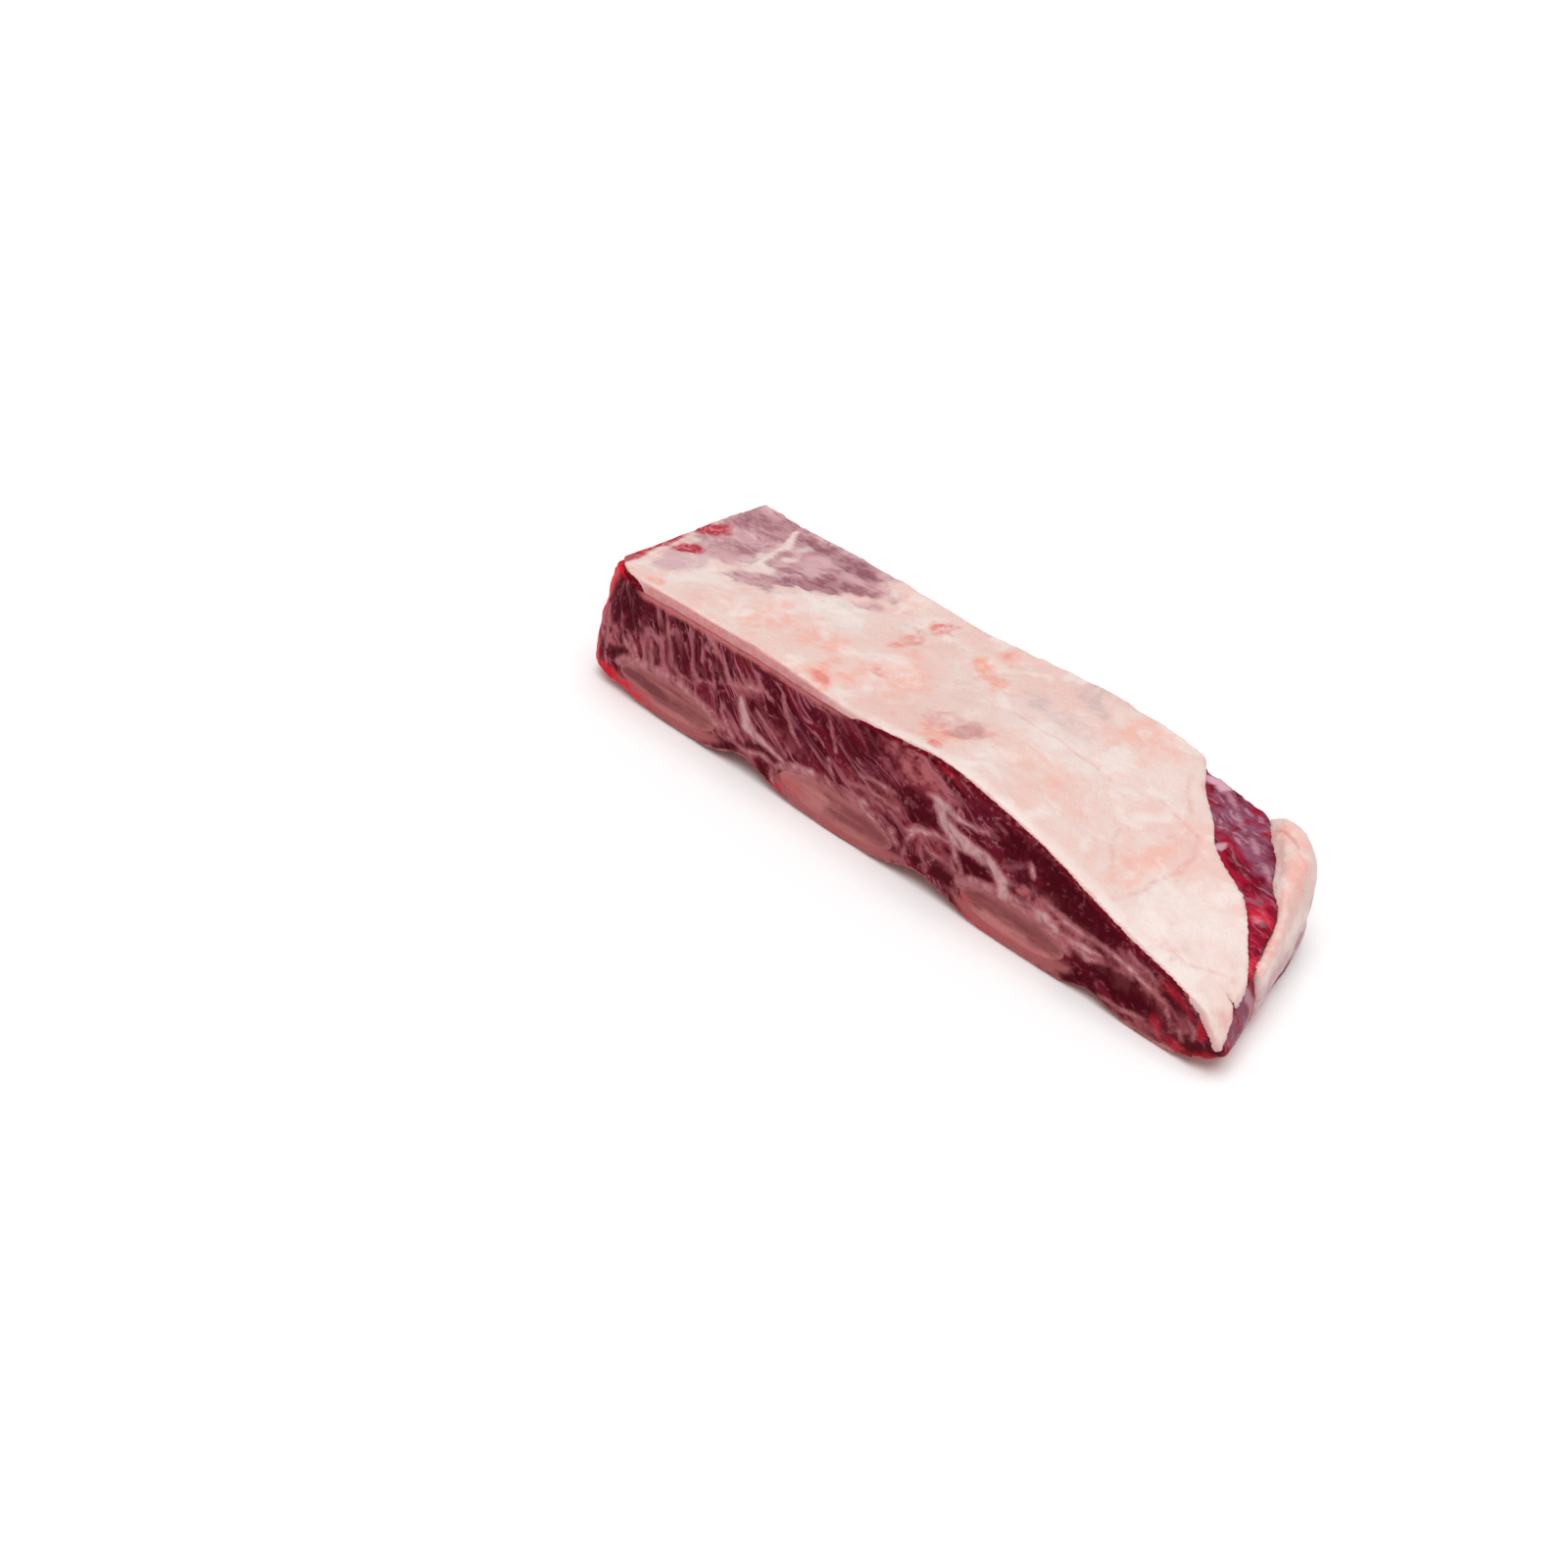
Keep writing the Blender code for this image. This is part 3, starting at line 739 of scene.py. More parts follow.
def buildLean(settings):
    piece = copyNode("lean_meat", "leanMuscle")
    fillers = [copyNode(name, name + "Filler", settings["boneGrow"], 0.984) for name in ribNames]
    bpy.ops.object.select_all(action="DESELECT")
    for obj in fillers + [piece]:
        obj.select_set(True)
    bpy.context.view_layer.objects.active = piece
    bpy.ops.object.join()
    points, normals = remeshPiece(piece, settings)
    s, y, z = points.T
    sawn = smoothStep(0.45, 0.8, np.abs(normals[:, 1]))
    depth = (y + slabHalfWidth) / (2 * slabHalfWidth)  # 0 on the front face, 1 on the back

    # seams run through the slab as sheets that drift sideways with depth, and wander a little
    wander = np.stack([s, y * 0.6, z], axis=1)
    drift = 5.5 * depth * np.sin(s / 17 + 1.0) + 3.0 * depth
    along = s - drift + 1.1 * noiseField(wander, 5.0, 3, 2)
    up = z + 2.2 * depth * np.sin(s / 11) + 1.0 * noiseField(wander, 4.0, 5, 2)
    seam = deepestSeam(along, up, settings["seams"]) + 0.6 * noiseField(wander, 5.0, 6, 2)
    ragged = 0.9 * noiseField(points, 3.2, 11, 3)
    pinkMeat = patchField(along, up, settings["pinkMeat"], ragged)
    darkMeat = patchField(along, up, settings["darkMeat"], ragged)

    # a pale skin wraps the upper side of each rib, and meat the colour of the rib lies under it
    inRib = insideRibs(points, ribOvals())
    overRib = np.minimum(inRib + 1.0 + 0.4 * ragged, 0.42) - 4 * smoothStep(9, 6, z)
    seam = np.clip(np.maximum(seam, np.where(sawn > 0.3, overRib, -9)), -3, 3)
    ribSkin = sawn * smoothStep(-2.4, -0.9, inRib + 0.6 * ragged) * smoothStep(7, 4.6, z)

    # the bare band on top of the slanting end, running on over the end itself
    upward = smoothStep(0.35, 0.75, normals[:, 2])
    endFace = smoothStep(0.5, 0.8, normals[:, 0]) * smoothStep(150, 160, s)
    squareEnd = smoothStep(0.35, 0.75, -normals[:, 0]) * smoothStep(20, 8, s)
    under = smoothStep(0.3, 0.7, -normals[:, 2])
    band = upward * smoothStep(140, 146, s) * smoothStep(7, 11, z)
    bareBand = np.maximum(band, endFace * smoothStep(2.4, 4.2, z + ragged))
    onTop = patchFields(s, y, settings, ragged)

    # the underside wears a thin pale skin that shows as a rim along the foot of the sawn faces
    lowRim = sawn * smoothStep(2.2, 0.7, z + 2.2 * ragged) * 0.75
    membrane = np.clip(under * 0.95 + lowRim, 0, 1) * (1 - bareBand)
    redRim = patchField(along, up, settings["redRim"], ragged) * sawn * smoothStep(0.9, 0.3, depth)
    besideFront = smoothStep(-10, -21, y)
    redShare = 0.3 + 0.65 * besideFront
    redRim = np.maximum(redRim, squareEnd * smoothStep(-0.5, 0.4, ragged) * redShare)
    crustDepth = np.interp(z, *settings["crust"]) - fromSquareEnd(points)
    redRim = np.maximum(redRim, smoothStep(-0.9, 0.4, crustDepth - 1.3 * ragged) * redShare)
    redRim = np.clip(redRim, 0, 1) * (1 - under * 0.6)

    endPatches = smoothStep(0.05, 0.5, noiseField(points, 13, 77, 4)) * squareEnd * (1 - besideFront)
    pinkEdge = smoothStep(1.9, 0.8, belowEdge(points) + 0.9 * ragged) * smoothStep(11, 17, s)
    pinkEdge = pinkEdge * smoothStep(90, 78, s)
    marbled = np.interp(s, *settings["marbledAlong"]) - 0.8 * darkMeat
    flecked = np.interp(s, *settings["fleckedAlong"]) * (1 - 0.5 * darkMeat)
    wetMeat = bareBand + redRim + 0.5 * smoothStep(176, 188, s) + 0.25 * smoothStep(4, 1, z)
    keepMasks(
        piece,
        seamDepth=seam - 3 * np.maximum(under, bareBand) - 1.6 * squareEnd,
        pinkMeat=np.maximum(pinkMeat * (1 - 0.85 * darkMeat), endPatches),
        underFat=pinkEdge * np.maximum(sawn, upward),
        darkMeat=darkMeat,
        marbled=np.clip(marbled, 0, 1.2),
        bareBand=bareBand,
        bandPurple=onTop["bandPurple"] * (1 - 0.8 * onTop["bandDark"]),
        bandRed=onTop["bandRed"] * (1 - onTop["bandDark"]),
        bandPale=onTop["bandPale"],
        membrane=membrane,
        redRim=redRim,
        ribSkin=ribSkin * 0.9,
        flecked=flecked,
        wetMeat=np.clip(wetMeat, 0, 1),
    )
    grain = grainOf(points, settings)
    keepVector(piece, "grainSpace", grain)

    # relief: soft lumps, seams that stand proud, ragged ends and a stringy bare band
    fibre = noiseField(grain * (3.3, 6, 3.3), 1.7, 41, 2)
    stringy = np.stack([s * 0.7 + y * 0.7, (y * 0.7 - s * 0.7) * 0.3, z], axis=1)
    rise = settings["lumpHeight"] * noiseField(points, 11, 7, 2)
    rise += sawn * settings["seamRelief"] * smoothStep(-0.3, 0.6, seam) + sawn * 0.14 * fibre
    rise += band * (1.1 * noiseField(stringy, 3.4, 23, 3) + 0.3)
    rise += band * 0.8 * smoothStep(5, 0.6, endFatStart(y) - s)  # the meat climbs to the end fat
    rise += smoothStep(174, 190, s) * sawn * 0.6 * noiseField(points, 3.0, 51, 3)
    rise += squareEnd * (0.9 * noiseField(points, 4.5, 61, 3) - 0.45)
    rise += under * 0.35 * noiseField(points, 6, 71, 3)
    rise += 0.1 + 0.25 * upward * (1 - band)
    sunk = 0.7 * smoothStep(0.9, 2.0, inRib + 0.3 * ragged)  # makes room for the sawn end of the rib
    rise = np.where(sawn > 0.3, np.minimum(rise, 0.14) - sunk, rise)
    rise = np.where(z < 1.2, np.minimum(rise, 0.05), rise)
    movePoints(piece, points + normals * rise[:, None])
    finishPiece(piece, "lean_meat", makeLeanMaterial(leanLook))


# the fat: one finish for the cap and for the wedge on the slanting end

fatLook = {
    "cream": screenColor(229, 205, 197),
    "pink": screenColor(231, 188, 179),
    "pale": screenColor(236, 221, 215),
    "peach": screenColor(236, 178, 162),
    "cutFace": shadedColor(184, 110, 111),
    # dark meat, for the sawn edge and for the painted shade in the slit by the tip
    "meatEdge": shadedColor(100, 14, 28),
    # lilac grey of silverskin, which on the wedge at the slanting end also paints the shade at the foot of
    # its outer face
    "silverskin": screenColor(190, 136, 145),
    "silverPale": screenColor(213, 170, 174),
    "silverDark": screenColor(142, 80, 93),
    "blood": screenColor(168, 16, 40),
    "bloodPale": screenColor(214, 110, 124),
    "redStain": screenColor(222, 108, 98),
    "orangeStain": screenColor(240, 160, 138),
    "grey": screenColor(202, 177, 175),
    "hair": screenColor(216, 138, 130),
    "spots": {
        # rows are (size, detail, low, high, smear)
        "clouds": (0.05, 6, 0.4, 0.6, 0.6),
        "pinks": (0.12, 6, 0.44, 0.62, 0.9),
        "pales": (0.085, 6, 0.5, 0.66, 0.8),
        "flecks": (0.33, 4, 0.58, 0.72, 0.5),
        "specks": (0.75, 3, 0.66, 0.74, 0.6),
        "paleSpots": (0.16, 5, 0.3, 0.6, 0.8),
        "meatSpots": (0.55, 4, 0.5, 0.66, 0.7),
        "brushed": (0.5, 6, 0.38, 0.58, 0.9),
        "paleBrush": (0.36, 6, 0.48, 0.62, 0.8),
        "bloodSpots": (0.6, 4, 0.46, 0.62, 0.8),
    },
    # tints over the cream: rows are (spots, colour, share)
    "layers": [
        ("clouds", "pink", 0.6),
        ("pinks", "pink", 0.5),
        ("pales", "pale", 0.8),
        ("flecks", "peach", 0.5),
        ("specks", "redStain", 0.3),
    ],
    # stains where a mask says: rows are (mask, colour, share, size of the spots in it, mottle)
    "stains": [
        ("orangeStain", "orangeStain", 0.85, 0.3, 0.75),
        ("redStain", "redStain", 0.9, 0.4, 0.75),
        ("greyTone", "grey", 0.75, 0.3, 0.75),
        ("cutFace", "cutFace", 0.95, 0.6, 0.2),
    ],
    "stainSpots": (6, 0.36, 0.6, 0.5),  # detail, low, high and smear
    "hairForm": {"Shift": 3.0, "Scale": 0.9, "Gaps": 0.53, "Width": 0.012},
    "hairPlace": 0.14,
    "gloss": {"Dry": 0.55, "Wet": 0.3},
    "bump": (0.5, 0.0005),
    "onFatOnly": {"Subsurface Weight": 0.22, "Coat Weight": 0.12, "Specular IOR Level": 0.3},
    "surface": {"Subsurface Radius": (1.0, 0.45, 0.35), "Subsurface Scale": 0.0022, "Coat Roughness": 0.25},
}


def makeFatMaterial(look):
    material, tree, shader, place, spots = newMaterial("fatFinish", look, "cream")
    color = look["cream"]
    for row, tint, share in look["layers"]:
        color = tinted(tree, color, look[tint], spots(row), share)
    paleShare = mathNode(tree, "MULTIPLY_ADD", spots("paleSpots"), 0.6, 0.4)
    # pale patches of fat, and along the front edge a painted highlight
    color = tinted(tree, color, look["pale"], maskOf(tree, "paleTone"), paleShare)
    hairPlace = turnedPlace(tree, place, (look["hairPlace"],) * 3)
    hairs = useGroup(tree, strandGroup, Grain=hairPlace, **look["hairForm"])["Mask"]
    color = tinted(tree, color, look["hair"], hairs, 0.3)
    for mask, tint, share, size, mottle in look["stains"]:
        broken = mathNode(tree, "MULTIPLY_ADD", spots((size, *look["stainSpots"])), mottle, 1 - mottle)
        weight = mathNode(tree, "MULTIPLY", maskOf(tree, mask), broken)
        color = tinted(tree, color, look[tint], weight, share)

    # the sawn edge, where meat shows as deep as the mask says, and the slit by the tip, painted in the same
    # dark meat colour as painted shade
    wobble = noiseNode(tree, place, 0.7, 4.0, 0.6)["Fac"]
    edgeDepth = mathNode(tree, "MULTIPLY_ADD", wobble, 0.7, maskOf(tree, "meatDepth"))
    onMeat = rangeNode(tree, edgeDepth, 0.75, 1.0)
    meatTone = tinted(tree, look["meatEdge"], look["cutFace"], spots("meatSpots"), 0.4)
    color = mixColors(tree, onMeat, color, meatTone)
    onFat = mathNode(tree, "SUBTRACT", 1.0, onMeat)

    # silverskin with brushed streaks, and blood; on the wedge at the slanting end the silverskin tones also
    # paint the shade at the foot of its outer face
    streaks = turnedPlace(tree, place, (0.36, 0.62, 1), (0, 0, 0.5))
    brushed = spots("brushed", streaks)
    silverShare = mathNode(tree, "MULTIPLY_ADD", brushed, 0.75, 0.25)
    silverTone = mixColors(tree, silverShare, look["silverDark"], look["silverskin"])
    silverTone = tinted(tree, silverTone, look["silverPale"], spots("paleBrush", streaks), 0.75)
    color = tinted(tree, color, silverTone, maskOf(tree, "silverskin"), 0.94)
    color = tinted(tree, color, look["silverPale"], maskOf(tree, "silverLight"), 0.8)
    darkShare = mathNode(tree, "MULTIPLY_ADD", brushed, -0.45, 0.95)
    color = tinted(tree, color, look["silverDark"], maskOf(tree, "silverDark"), darkShare)
    bloodTone = mixColors(tree, spots("bloodSpots"), look["blood"], look["bloodPale"])
    color = mixColors(tree, maskOf(tree, "blood"), color, bloodTone)
    for name, value in look["onFatOnly"].items():
        tree.links.new(mathNode(tree, "MULTIPLY", onFat, value), shader.inputs[name])
    moist = useGroup(tree, moistGroup, Place=place, **look["gloss"])
    finishShader(tree, shader, color, moist["Roughness"], moist["Height"], look)
    return material


fatFinish = makeFatMaterial(fatLook)

fatCapPiece = {
    "voxel": 0.00052,
    "smoothRounds": 5,
    "lumpHeight": 0.7,
    "raggedness": {
        "silverskin": 1, "silverDark": 1.2, "silverLight": 1.2, "blood": 1.3, "redStain": 1.6,
        "orangeStain": 1.6, "greyTone": 1.4, "paleTone": 1.4,
    },
    # rows are (along, across, radius along, radius across, turn, strength)
    "silverskin": [
        (10, 19, 19, 14, 0, 1), (36, 20, 18, 12, 0, 1), (36, 10, 17, 7.5, 12, 1), (31, -3.4, 9, 5.4, 14, 1),
        (12, 3, 13, 9, 0, 0.85), (12, -12, 7, 8, 0, 0.45),
    ],
    "silverDark": [
        (26.2, 23.3, 5, 3.2, 0, 0.9), (37.6, 22.6, 7, 3.2, 0, 1), (41, 9, 9, 4.6, 52, 0.95),
        (5, 20.4, 4.4, 4, 0, 0.7), (15, 6, 3.4, 3, 0, 0.45), (22.6, 12, 2.4, 6, 20, 0.4),
        (48, 15, 4, 3, 0, 0.7), (33, -6, 6.4, 3.4, 52, 0.3), (12, 24, 3, 3, 0, 0.4),
        (109.4, -13.6, 5, 3.6, -44, 0.4), (102, -16, 4, 3, 20, 0.15),
    ],
    "silverLight": [
        (31.7, 16.8, 5.4, 4.2, 20, 1), (42, 17, 4, 2.6, 0, 0.7), (9, 11, 5, 3, 30, 0.6),
        (8, -15, 5, 7, 0, 0.9), (15, -4, 6, 5, 0, 0.6), (30, 25.6, 3, 2, 0, 0.5),
    ],
    "creamVein": [(16.6, 23.4, 0.9), (19.6, 16, 1.0), (21.4, 8.4, 0.9), (24.2, 0.6, 0.7)],
    "blood": [
        (2.4, 4.8, 6.6, 3.2, 55, 1), (7.8, -6.6, 3.2, 2.5, 50, 1), (0.8, -3, 2.2, 6, 0, 1),
        (1.2, -13, 1.9, 9, 0, 1), (2.4, -21, 1.7, 5, 0, 0.95),
    ],
    "redStain": [
        (71.6, 19, 3.4, 4.4, 0, 1), (71, 10, 2.6, 8, 12, 0.6), (73.4, -24, 2.6, 1.8, 20, 0.8),
        (110.6, -25.4, 2, 1.4, 0, 0.9), (109.3, -13.9, 5, 6, -30, 0.6), (101, -18, 5, 4, 0, 0.4),
        (79, -10.4, 2, 1.4, 0, 0.5), (196, -16, 3, 9, 0, 0.4), (152, 24, 2, 5, 14, 0.4),
        (90, 22, 3, 3, 0, 0.4),
    ],
    "orangeStain": [
        (95.2, 11.7, 8.6, 3.8, -44, 1), (92, 22, 3, 6, 30, 0.6), (108, -22, 5, 3.6, 0, 0.8),
        (104, -20, 6, 5, 0, 0.5), (56, -12, 18, 7, 6, 0.6), (86, -8, 5, 14, 34, 0.5),
        (136, 20, 9, 9, 0, 0.5), (160, -14, 3, 14, 0, 0.5), (73, -21, 6, 7, 0, 0.8),
        (125, -10, 10, 5, 0, 0.4), (60, 22, 5, 4, 0, 0.5), (15.6, -25.6, 3, 1.6, 0, 1),
    ],
    "greyTone": [
        (116.4, 24, 8, 4, -40, 1), (111.4, 9.3, 5, 3, -30, 0.9), (12, -16, 4, 6.4, 0, 0.6),
        (120, 8, 7, 5, 0, 0.5), (109.3, -13.9, 4, 5, -30, 0.5), (122, 27, 5, 3, 0, 0.4),
        (100, -4, 4, 3, 0, 0.3),
    ],
    # faint lines where sheets of fat meet: rows are (along, across, half width)
    "lines": [
        [
            (150, 7.0, 0.05), (157, 6.2, 0.15), (163, 4.6, 0.2), (165.6, 0, 0.3), (165.8, -9, 0.25),
            (164.4, -18, 0.15), (163, -25, 0.05),
        ],
        [(104, 0.8, 0.0), (116, 0.9, 0.12), (128, 1.2, 0.1), (140, 1.6, 0.0)],
        [(177, -25, 0.0), (184, -21.6, 0.1), (189, -18, 0.0)],
        [(149, 20, 0.05), (151, 14, 0.12), (157, 10, 0.0)],
        [(151, -8, 0.0), (154, -14, 0.15), (157, -19, 0.05)],
    ],
    # rows are (along, across, radius along, radius across, turn, strength)
    # pale patches of fat; the painted highlight along the front edge joins them in the same mask
    "paleTone": [
        (180, -13, 15, 13, 0, 0.8), (52, -6, 16, 9, 0, 0.6), (124, 0, 14, 8, 0, 0.45),
        (20, -10, 14, 8, 0, 0.5), (146, 14, 10, 6, 0, 0.35), (190, -22, 5, 6, 0, 0.5),
    ],
    "nick": (180, -24.8),
    # the thin tip that hangs down over the corner: rows are its front and back border, (along, across, up)
    "tip": [
        ((188.0, -27.0, 17.0), (190.0, -20.4, 16.6)),
        ((191.2, -27.7, 15.0), (193.8, -21.0, 14.8)),
        ((193.6, -28.0, 12.4), (195.3, -22.8, 12.8)),
        ((195.2, -28.0, 10.2), (196.2, -25.0, 10.8)),
        ((196.3, -27.7, 8.2), (196.6, -27.0, 8.5)),
    ],
    "tipThickness": 0.0017,
    # where the slit by the tip runs across, in mm: carved in a little and painted dark as painted shade
    "slit": -20.2,
    "oval": (180, -13, 15, 14),
}


def addTip(piece, settings):
    # a sheet over the corner of the slab, given a thickness and joined on before the remesh
    rows = settings["tip"]
    bpy.ops.object.select_all(action="DESELECT")
    bpy.ops.mesh.primitive_grid_add(x_subdivisions=2, y_subdivisions=len(rows) - 1, size=1)
    tip = bpy.context.active_object
    for vertex in tip.data.vertices:
        front, back = rows[round((vertex.co.y + 0.5) * (len(rows) - 1))]
        share = vertex.co.x + 0.5
        vertex.co = [(front[axis] + (back[axis] - front[axis]) * share) / 1000 for axis in range(3)]
        vertex.co.x -= slabStart / 1000
    useModifier(tip, "SOLIDIFY", thickness=settings["tipThickness"], offset=0.0)
    onlySelect(tip)
    bpy.ops.object.mode_set(mode="EDIT")
    bpy.ops.mesh.select_all(action="SELECT")
    bpy.ops.mesh.normals_make_consistent(inside=False)
    bpy.ops.object.mode_set(mode="OBJECT")
    onlySelect(piece)
    tip.select_set(True)
    bpy.ops.object.join()


def buildFatCap(settings):
    piece = copyNode("fat_cap", "fatCap")
    addTip(piece, settings)
    points, normals = remeshPiece(piece, settings)
    s, y, z = points.T
    flatPlace = np.stack([s, y, np.zeros(len(s))], axis=1)
    ragged = 0.8 * noiseField(flatPlace, 6.0, 12, 4)
    upward = smoothStep(0.25, 0.7, normals[:, 2])
    sides = smoothStep(0.3, 0.75, np.abs(normals[:, 1])) * smoothStep(0.8, 0.4, normals[:, 2])
    ends = smoothStep(0.3, 0.75, -normals[:, 0]) * smoothStep(30, 12, s)
    below = belowEdge(points)

    fields = patchFields(s, y, settings, ragged)
    silver = fields["silverskin"]
    onSilver = smoothStep(0, 0.5, silver)
    veinGap = smoothStep(-0.9, 0.5, seamField(s + 2.4 * ragged, y, settings["creamVein"]))
    silver = silver * (1 - 0.9 * veinGap)
    silverDark = fields["silverDark"] * np.maximum(smoothStep(0.2, 0.7, silver), s > 60)
    blood = np.maximum(fields["blood"], ends * smoothStep(-0.35, 0.2, ragged))
    bentS = s + 1.6 * noiseField(flatPlace, 9, 33, 2)
    bentY = y + 1.6 * noiseField(flatPlace, 9, 35, 2)
    crease = smoothStep(-0.9, 0.3, deepestSeam(bentS, bentY, settings["lines"])) * upward
    nick = smoothStep(1.2, 0.3, np.hypot((s - settings["nick"][0]) * 1.8, y - settings["nick"][1]))

    # the sawn edge is pink where the fat is thick, and dark meat starts just below it where it is thin
    thin = np.maximum(smoothStep(72, 94, s + 4 * ragged), smoothStep(18, 12, s))
    bottom = smoothStep(0.3, 0.7, -normals[:, 2])
    cutFace = np.maximum(sides * smoothStep(-0.1, 0.5, below + 0.6 * ragged), bottom)
    cutFace = np.maximum(cutFace * (1 - 0.7 * thin * (y < 0)), ends * 0.6)
    inFront = np.maximum(smoothStep(-25.2, -26.4, y), smoothStep(18, 14, s) * (y < -8))
    meatDepth = np.minimum(below, 3) - 6 * (1 - np.maximum(sides, bottom))
    meatDepth = meatDepth - 3 * (1 - thin * inFront * smoothStep(190, 187, s))

    silverLight = fields["silverLight"] * smoothStep(0.1, 0.5, silver)
    # the slit between the tip and the cap is carved in a little and painted dark meat as painted shade in
    # the notch
    slit = smoothStep(0.8, 0.25, np.abs(y - settings["slit"] + 0.3 * ragged)) * smoothStep(191.4, 192.6, s)
    # a paler strip along the front edge of the thin cap: painted highlight of its wet edge, kept with the
    # pale patches
    paleEdge = smoothStep(-24.4, -26.6, y + ragged) * 0.8 * smoothStep(86, 96, s)
    paleTone = np.maximum(fields["paleTone"], paleEdge)
    keepMasks(
        piece,
        silverskin=silver * upward,
        silverDark=silverDark * upward,
        silverLight=silverLight * upward,
        blood=np.clip(blood * np.maximum(upward, ends), 0, 1),
        redStain=np.maximum(fields["redStain"], crease * 0.3) * upward,
        orangeStain=fields["orangeStain"] * upward,
        greyTone=np.maximum(fields["greyTone"] * upward, nick),
        cutFace=cutFace,
        meatDepth=np.maximum(meatDepth, slit * 1.2 - 0.4),
        paleTone=paleTone * upward,
    )

    middleS, middleY, radiusS, radiusY = settings["oval"]
    oval = smoothStep(-0.06, 0.2, 1 - np.hypot((s - middleS) / radiusS, (y - middleY) / radiusY))
    rise = settings["lumpHeight"] * noiseField(flatPlace, 19, 8, 2) + 0.3 * noiseField(flatPlace, 6.5, 9, 3)
    brush = np.stack([s * 0.88 + y * 0.48, (y * 0.88 - s * 0.48) * 3.0, z * 0], axis=1)
    rise += silver * (0.30 * noiseField(brush, 7, 18, 3) - 0.2) + 0.3 * veinGap * onSilver
    rise += 0.25 * oval - 0.25 * crease - 0.6 * nick - 0.25 * silverDark - 0.9 * slit
    rise = rise * np.maximum(upward, 0.35) + 0.1
    rise += ends * (0.6 * noiseField(points, 4, 28, 3) - 0.3) + 0.5 * smoothStep(0.2, 0.6, -normals[:, 2])
    rise += smoothStep(0.5, 0.85, np.abs(normals[:, 1])) * 0.22 * noiseField(points, 4.5, 38, 3)
    movePoints(piece, points + normals * rise[:, None])
    finishPiece(piece, "fat_cap", fatFinish)


endFatPiece = {
    "voxel": 0.00042,
    "smoothRounds": 16,
    "orange": [
        (180, 18.6, 2.4, 2, 0, 0.7), (182.4, 14.6, 2, 1.8, -30, 0.7), (174, 25, 4, 2, 0, 0.4),
        (183, 11, 2, 1.4, 0, 0.4),
    ],
    "line": [(170.6, 24.4, 0.1), (173, 24, 0.3), (175.6, 22.8, 0.4), (177.4, 21.6, 0.1)],
    "spots": [(22.2, 14.6, 1.8, 3.2, 0, 1), (16.8, 7.8, 2.0, 2.0, 0, 1), (11, 6, 1.2, 1.2, 0, 0.6)],
}


def buildEndFat(settings):
    piece = copyNode("end_fat", "endFat")
    points, normals = remeshPiece(piece, settings)
    s, y, z = points.T
    ragged = 0.8 * noiseField(points, 4.0, 14, 4)
    upward = smoothStep(0.2, 0.7, normals[:, 2])
    outward = smoothStep(0.4, 0.8, normals[:, 0])
    line = smoothStep(-0.5, 0.2, seamField(s + ragged, y + ragged, settings["line"])) * upward
    spots = patchField(y, z, settings["spots"], ragged) * outward
    none = np.zeros(len(s))
    sawnBack = smoothStep(0.5, 0.85, normals[:, 1])
    cutFace = np.clip(0.3 + smoothStep(2.2, 0.6, z - 4.6 + ragged) + 1.4 * ragged, 0, 1)
    lowRed = outward * smoothStep(8, 4.6, z + 2 * ragged) * 0.5
    keepMasks(
        piece,
        # the foot of the outer face gets the silverskin tones, more towards the floor: painted shade
        silverskin=outward * smoothStep(15, 8, z + 3 * ragged) * 0.7,
        silverDark=spots,
        silverLight=none,
        blood=line * 0.3,
        redStain=np.maximum(0.12 + smoothStep(6, 0, y) * upward * 0.3, lowRed),
        orangeStain=patchField(s, y, settings["orange"], 1.2 * ragged),
        greyTone=none,
        cutFace=sawnBack * cutFace * 0.8,
        meatDepth=spots - 0.5,
        paleTone=none,
    )
    rise = 0.5 * noiseField(points, 8, 15, 3) + 0.15 * noiseField(points, 2.4, 17, 2) + 0.5 - 0.1 * line
    movePoints(piece, points + normals * rise[:, None])
    finishPiece(piece, "end_fat", fatFinish)


# the rib bones: sawn ends with a spongy middle

boneLook = {
    "shell": shadedColor(157, 88, 89),
    "spongy": shadedColor(130, 62, 66),
    "tan": shadedColor(158, 90, 87),
    "pale": shadedColor(176, 108, 106),
    "core": shadedColor(104, 42, 50),
    "red": shadedColor(176, 52, 58),
    "side": screenColor(206, 160, 150),
    "spots": {
        # rows are (size, detail, low, high, smear)
        "marks": (1.1, 6, 0.36, 0.64, 0.3),
        "broad": (0.5, 5, 0.36, 0.62, 0.3),
    },
    "poreScale": 1.3,
    "poreEdge": (0.34, 0.12),
    "gloss": {"Dry": 0.6, "Wet": 0.36},
    "bump": (0.45, 0.0003),
    "surface": {
        "Subsurface Weight": 0.1,
        "Subsurface Radius": (1.0, 0.4, 0.3),
        "Subsurface Scale": 0.0012,
        "Coat Weight": 0.03,
        "Coat Roughness": 0.3,
        "Specular IOR Level": 0.12,
    },
}


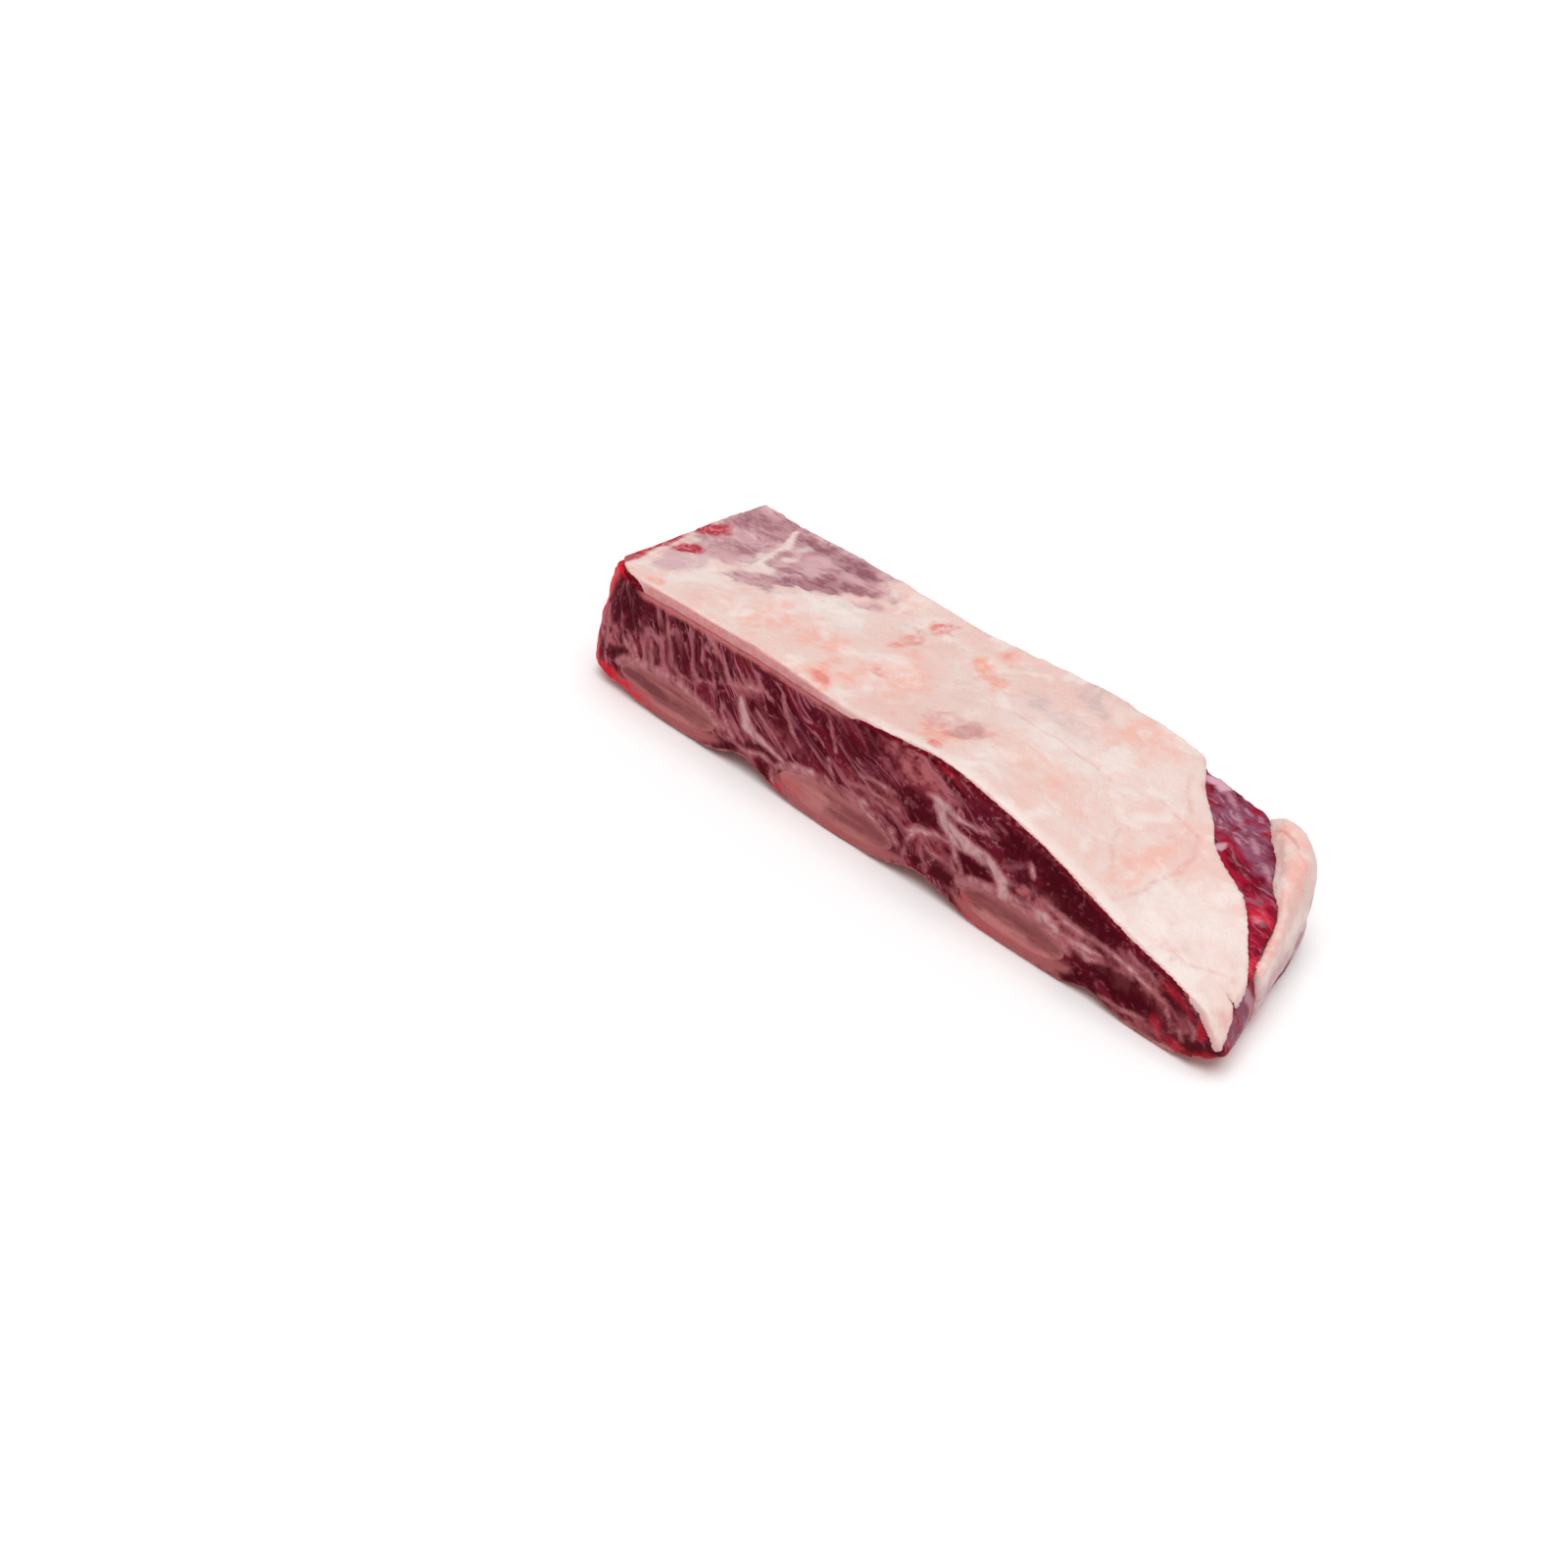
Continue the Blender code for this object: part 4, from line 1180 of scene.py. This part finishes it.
def makeBoneMaterial(look):
    material, tree, shader, place, spots = newMaterial("boneFinish", look, "spongy")
    inner = maskOf(tree, "boneDepth")  # mm inwards from the outline of the sawn face
    wobble = noiseNode(tree, place, 0.45, 6.0, 0.6)["Fac"]
    wobbled = mathNode(tree, "ADD", inner, mathNode(tree, "MULTIPLY_ADD", wobble, 3.2, -1.6))
    spongy = rangeNode(tree, wobbled, 0.8, 3.6)
    sawn = turnedPlace(tree, place, (0.1, 0.6, 1.0), (0, 0.1, 0))
    marks = spots("marks", sawn)
    broad = spots("broad", sawn)
    pores = addNode(tree, "ShaderNodeTexVoronoi", Vector=place, Scale=look["poreScale"]).outputs["Distance"]
    pore = mathNode(tree, "MULTIPLY", rangeNode(tree, pores, *look["poreEdge"]), spongy)
    color = mixColors(tree, broad, look["spongy"], look["tan"])
    color = tinted(tree, color, look["core"], maskOf(tree, "boneDark"), 0.85)
    color = tinted(tree, color, look["core"], marks, 0.4)
    color = tinted(tree, color, look["core"], pore, 0.4)
    color = mixColors(tree, mathNode(tree, "SUBTRACT", 1.0, spongy), color, look["shell"])
    paleShare = mathNode(tree, "MULTIPLY_ADD", marks, -0.4, 0.95)
    color = tinted(tree, color, look["pale"], maskOf(tree, "bonePale"), paleShare)
    color = tinted(tree, color, look["red"], maskOf(tree, "boneRed"), 0.8)
    color = mixColors(tree, maskOf(tree, "boneSide"), color, look["side"])
    moist = useGroup(tree, moistGroup, Place=place, **look["gloss"])
    height = mathNode(tree, "MULTIPLY_ADD", pore, -1.2, marks)
    finishShader(tree, shader, color, moist["Roughness"], height, look)
    return material


bonePiece = {
    "voxel": 0.0005,
    "smoothRounds": 3,
    # rows are (along, up, radius along, radius up, turn, strength)
    "dark": [
        (18, 8.2, 12, 1.8, -3, 1), (26, 6.6, 18, 4, 0, 0.3), (36, 8.6, 10, 1.4, 4, 0.5),
        (92, 7, 12, 1.6, 6, 0.35), (131, 7.4, 6, 3.2, 0, 0.5), (144, 9.4, 14, 2.2, 0, 0.6),
    ],
    "pale": [
        (142, 3.6, 18, 2.8, 0, 1), (76, 6, 9, 5, 0, 0.9), (94, 3, 12, 1.8, 0, 0.6),
        (28, 3.4, 16, 1.8, 0, 0.7), (12, 5, 6, 2, 0, 0.4),
    ],
    "red": [
        (70, 4, 6, 3, 20, 0.5), (12, 4.6, 9, 1.6, -10, 0.6), (86, 1.6, 16, 1.2, 0, 0.5),
        (142, 1.8, 20, 1.6, 0, 0.85), (127, 4, 3, 3, 0, 0.6),
    ],
}


def buildBones(settings):
    finish = makeBoneMaterial(boneLook)
    ovals = ribOvals()
    for seed, (nodeName, pieceName) in enumerate(ribNames.items()):
        piece = copyNode(nodeName, pieceName)
        points, normals = remeshPiece(piece, settings)
        s, _, z = points.T
        sawn = smoothStep(0.5, 0.85, np.abs(normals[:, 1]))
        ragged = 0.8 * noiseField(points, 4.0, 90 + seed, 3)
        inner = insideRibs(points, ovals)
        keepMasks(
            piece,
            boneDepth=np.minimum(inner, (z - 2.4) * 0.8 + 0.4 * ragged),
            boneSide=1 - sawn,
            boneDark=patchField(s, z, settings["dark"], ragged) * smoothStep(1, 2.4, inner),
            boneRed=patchField(s, z, settings["red"], ragged),
            bonePale=patchField(s, z, settings["pale"], ragged),
        )
        grit = 0.1 * noiseField(points, 2.2, 80 + seed, 3)
        rise = sawn * (grit - 0.16 - 0.3 * smoothStep(1.1, 0.1, inner))
        movePoints(piece, points + normals * rise[:, None])
        finishPiece(piece, nodeName, finish)


buildLean(leanPiece)
buildFatCap(fatCapPiece)
buildEndFat(endFatPiece)
buildBones(bonePiece)


# the floor, the light and the camera

stageLook = {
    "floor": screenColor(250, 250, 250),
    "world": 0.42,
    "keyStrength": 2.3,
    "keyAngle": 55,
    "keyTurn": (9, 7, 0),
}


def buildStage(look):
    bpy.ops.mesh.primitive_plane_add(size=8, location=(0, 0, 0))
    floor = bpy.context.active_object
    floor.name = "paleFloor"
    material = bpy.data.materials.new("floorFinish")
    material.use_nodes = True
    shader = material.node_tree.nodes["Principled BSDF"]
    shader.inputs["Base Color"].default_value = look["floor"]
    shader.inputs["Roughness"].default_value = 0.7
    shader.inputs["Specular IOR Level"].default_value = 0.2
    floor.data.materials.append(material)

    world = bpy.data.worlds.new("studioWorld")
    bpy.context.scene.world = world
    world.use_nodes = True
    sky = world.node_tree.nodes["Background"]
    sky.inputs["Color"].default_value = (1, 1, 1, 1)
    sky.inputs["Strength"].default_value = look["world"]

    bpy.ops.object.light_add(type="SUN", location=(0.2, 0.3, 1))
    key = bpy.context.active_object
    key.name = "keyLight"
    key.data.energy = look["keyStrength"]
    key.data.angle = math.radians(look["keyAngle"])
    key.rotation_euler = [math.radians(turn) for turn in look["keyTurn"]]


cameraLook = {
    # found from the slab's own edges, in m, with the first place measured from the square end
    "lens": 50,
    "sensor": 36,
    "right": (0.68845, 0.72175, 0.07149),
    "up": (-0.44840, 0.34608, 0.82412),
    "back": (0.57006, -0.59942, 0.56189),
    "place": (0.36516, -0.34010, 0.29751),
}


def buildCamera(look):
    cameraData = bpy.data.cameras.new("photoCamera")
    camera = bpy.data.objects.new("photoCamera", cameraData)
    bpy.context.scene.collection.objects.link(camera)
    cameraData.lens = look["lens"]
    cameraData.sensor_width = look["sensor"]
    cameraData.clip_start = 0.01
    place = (look["place"][0] - slabStart / 1000, *look["place"][1:])
    camera.matrix_world = Matrix([*zip(look["right"], look["up"], look["back"], place), (0, 0, 0, 1)])
    bpy.context.scene.camera = camera


buildStage(stageLook)
buildCamera(cameraLook)
bpy.context.scene.view_settings.view_transform = "Standard"
print("stage ready")
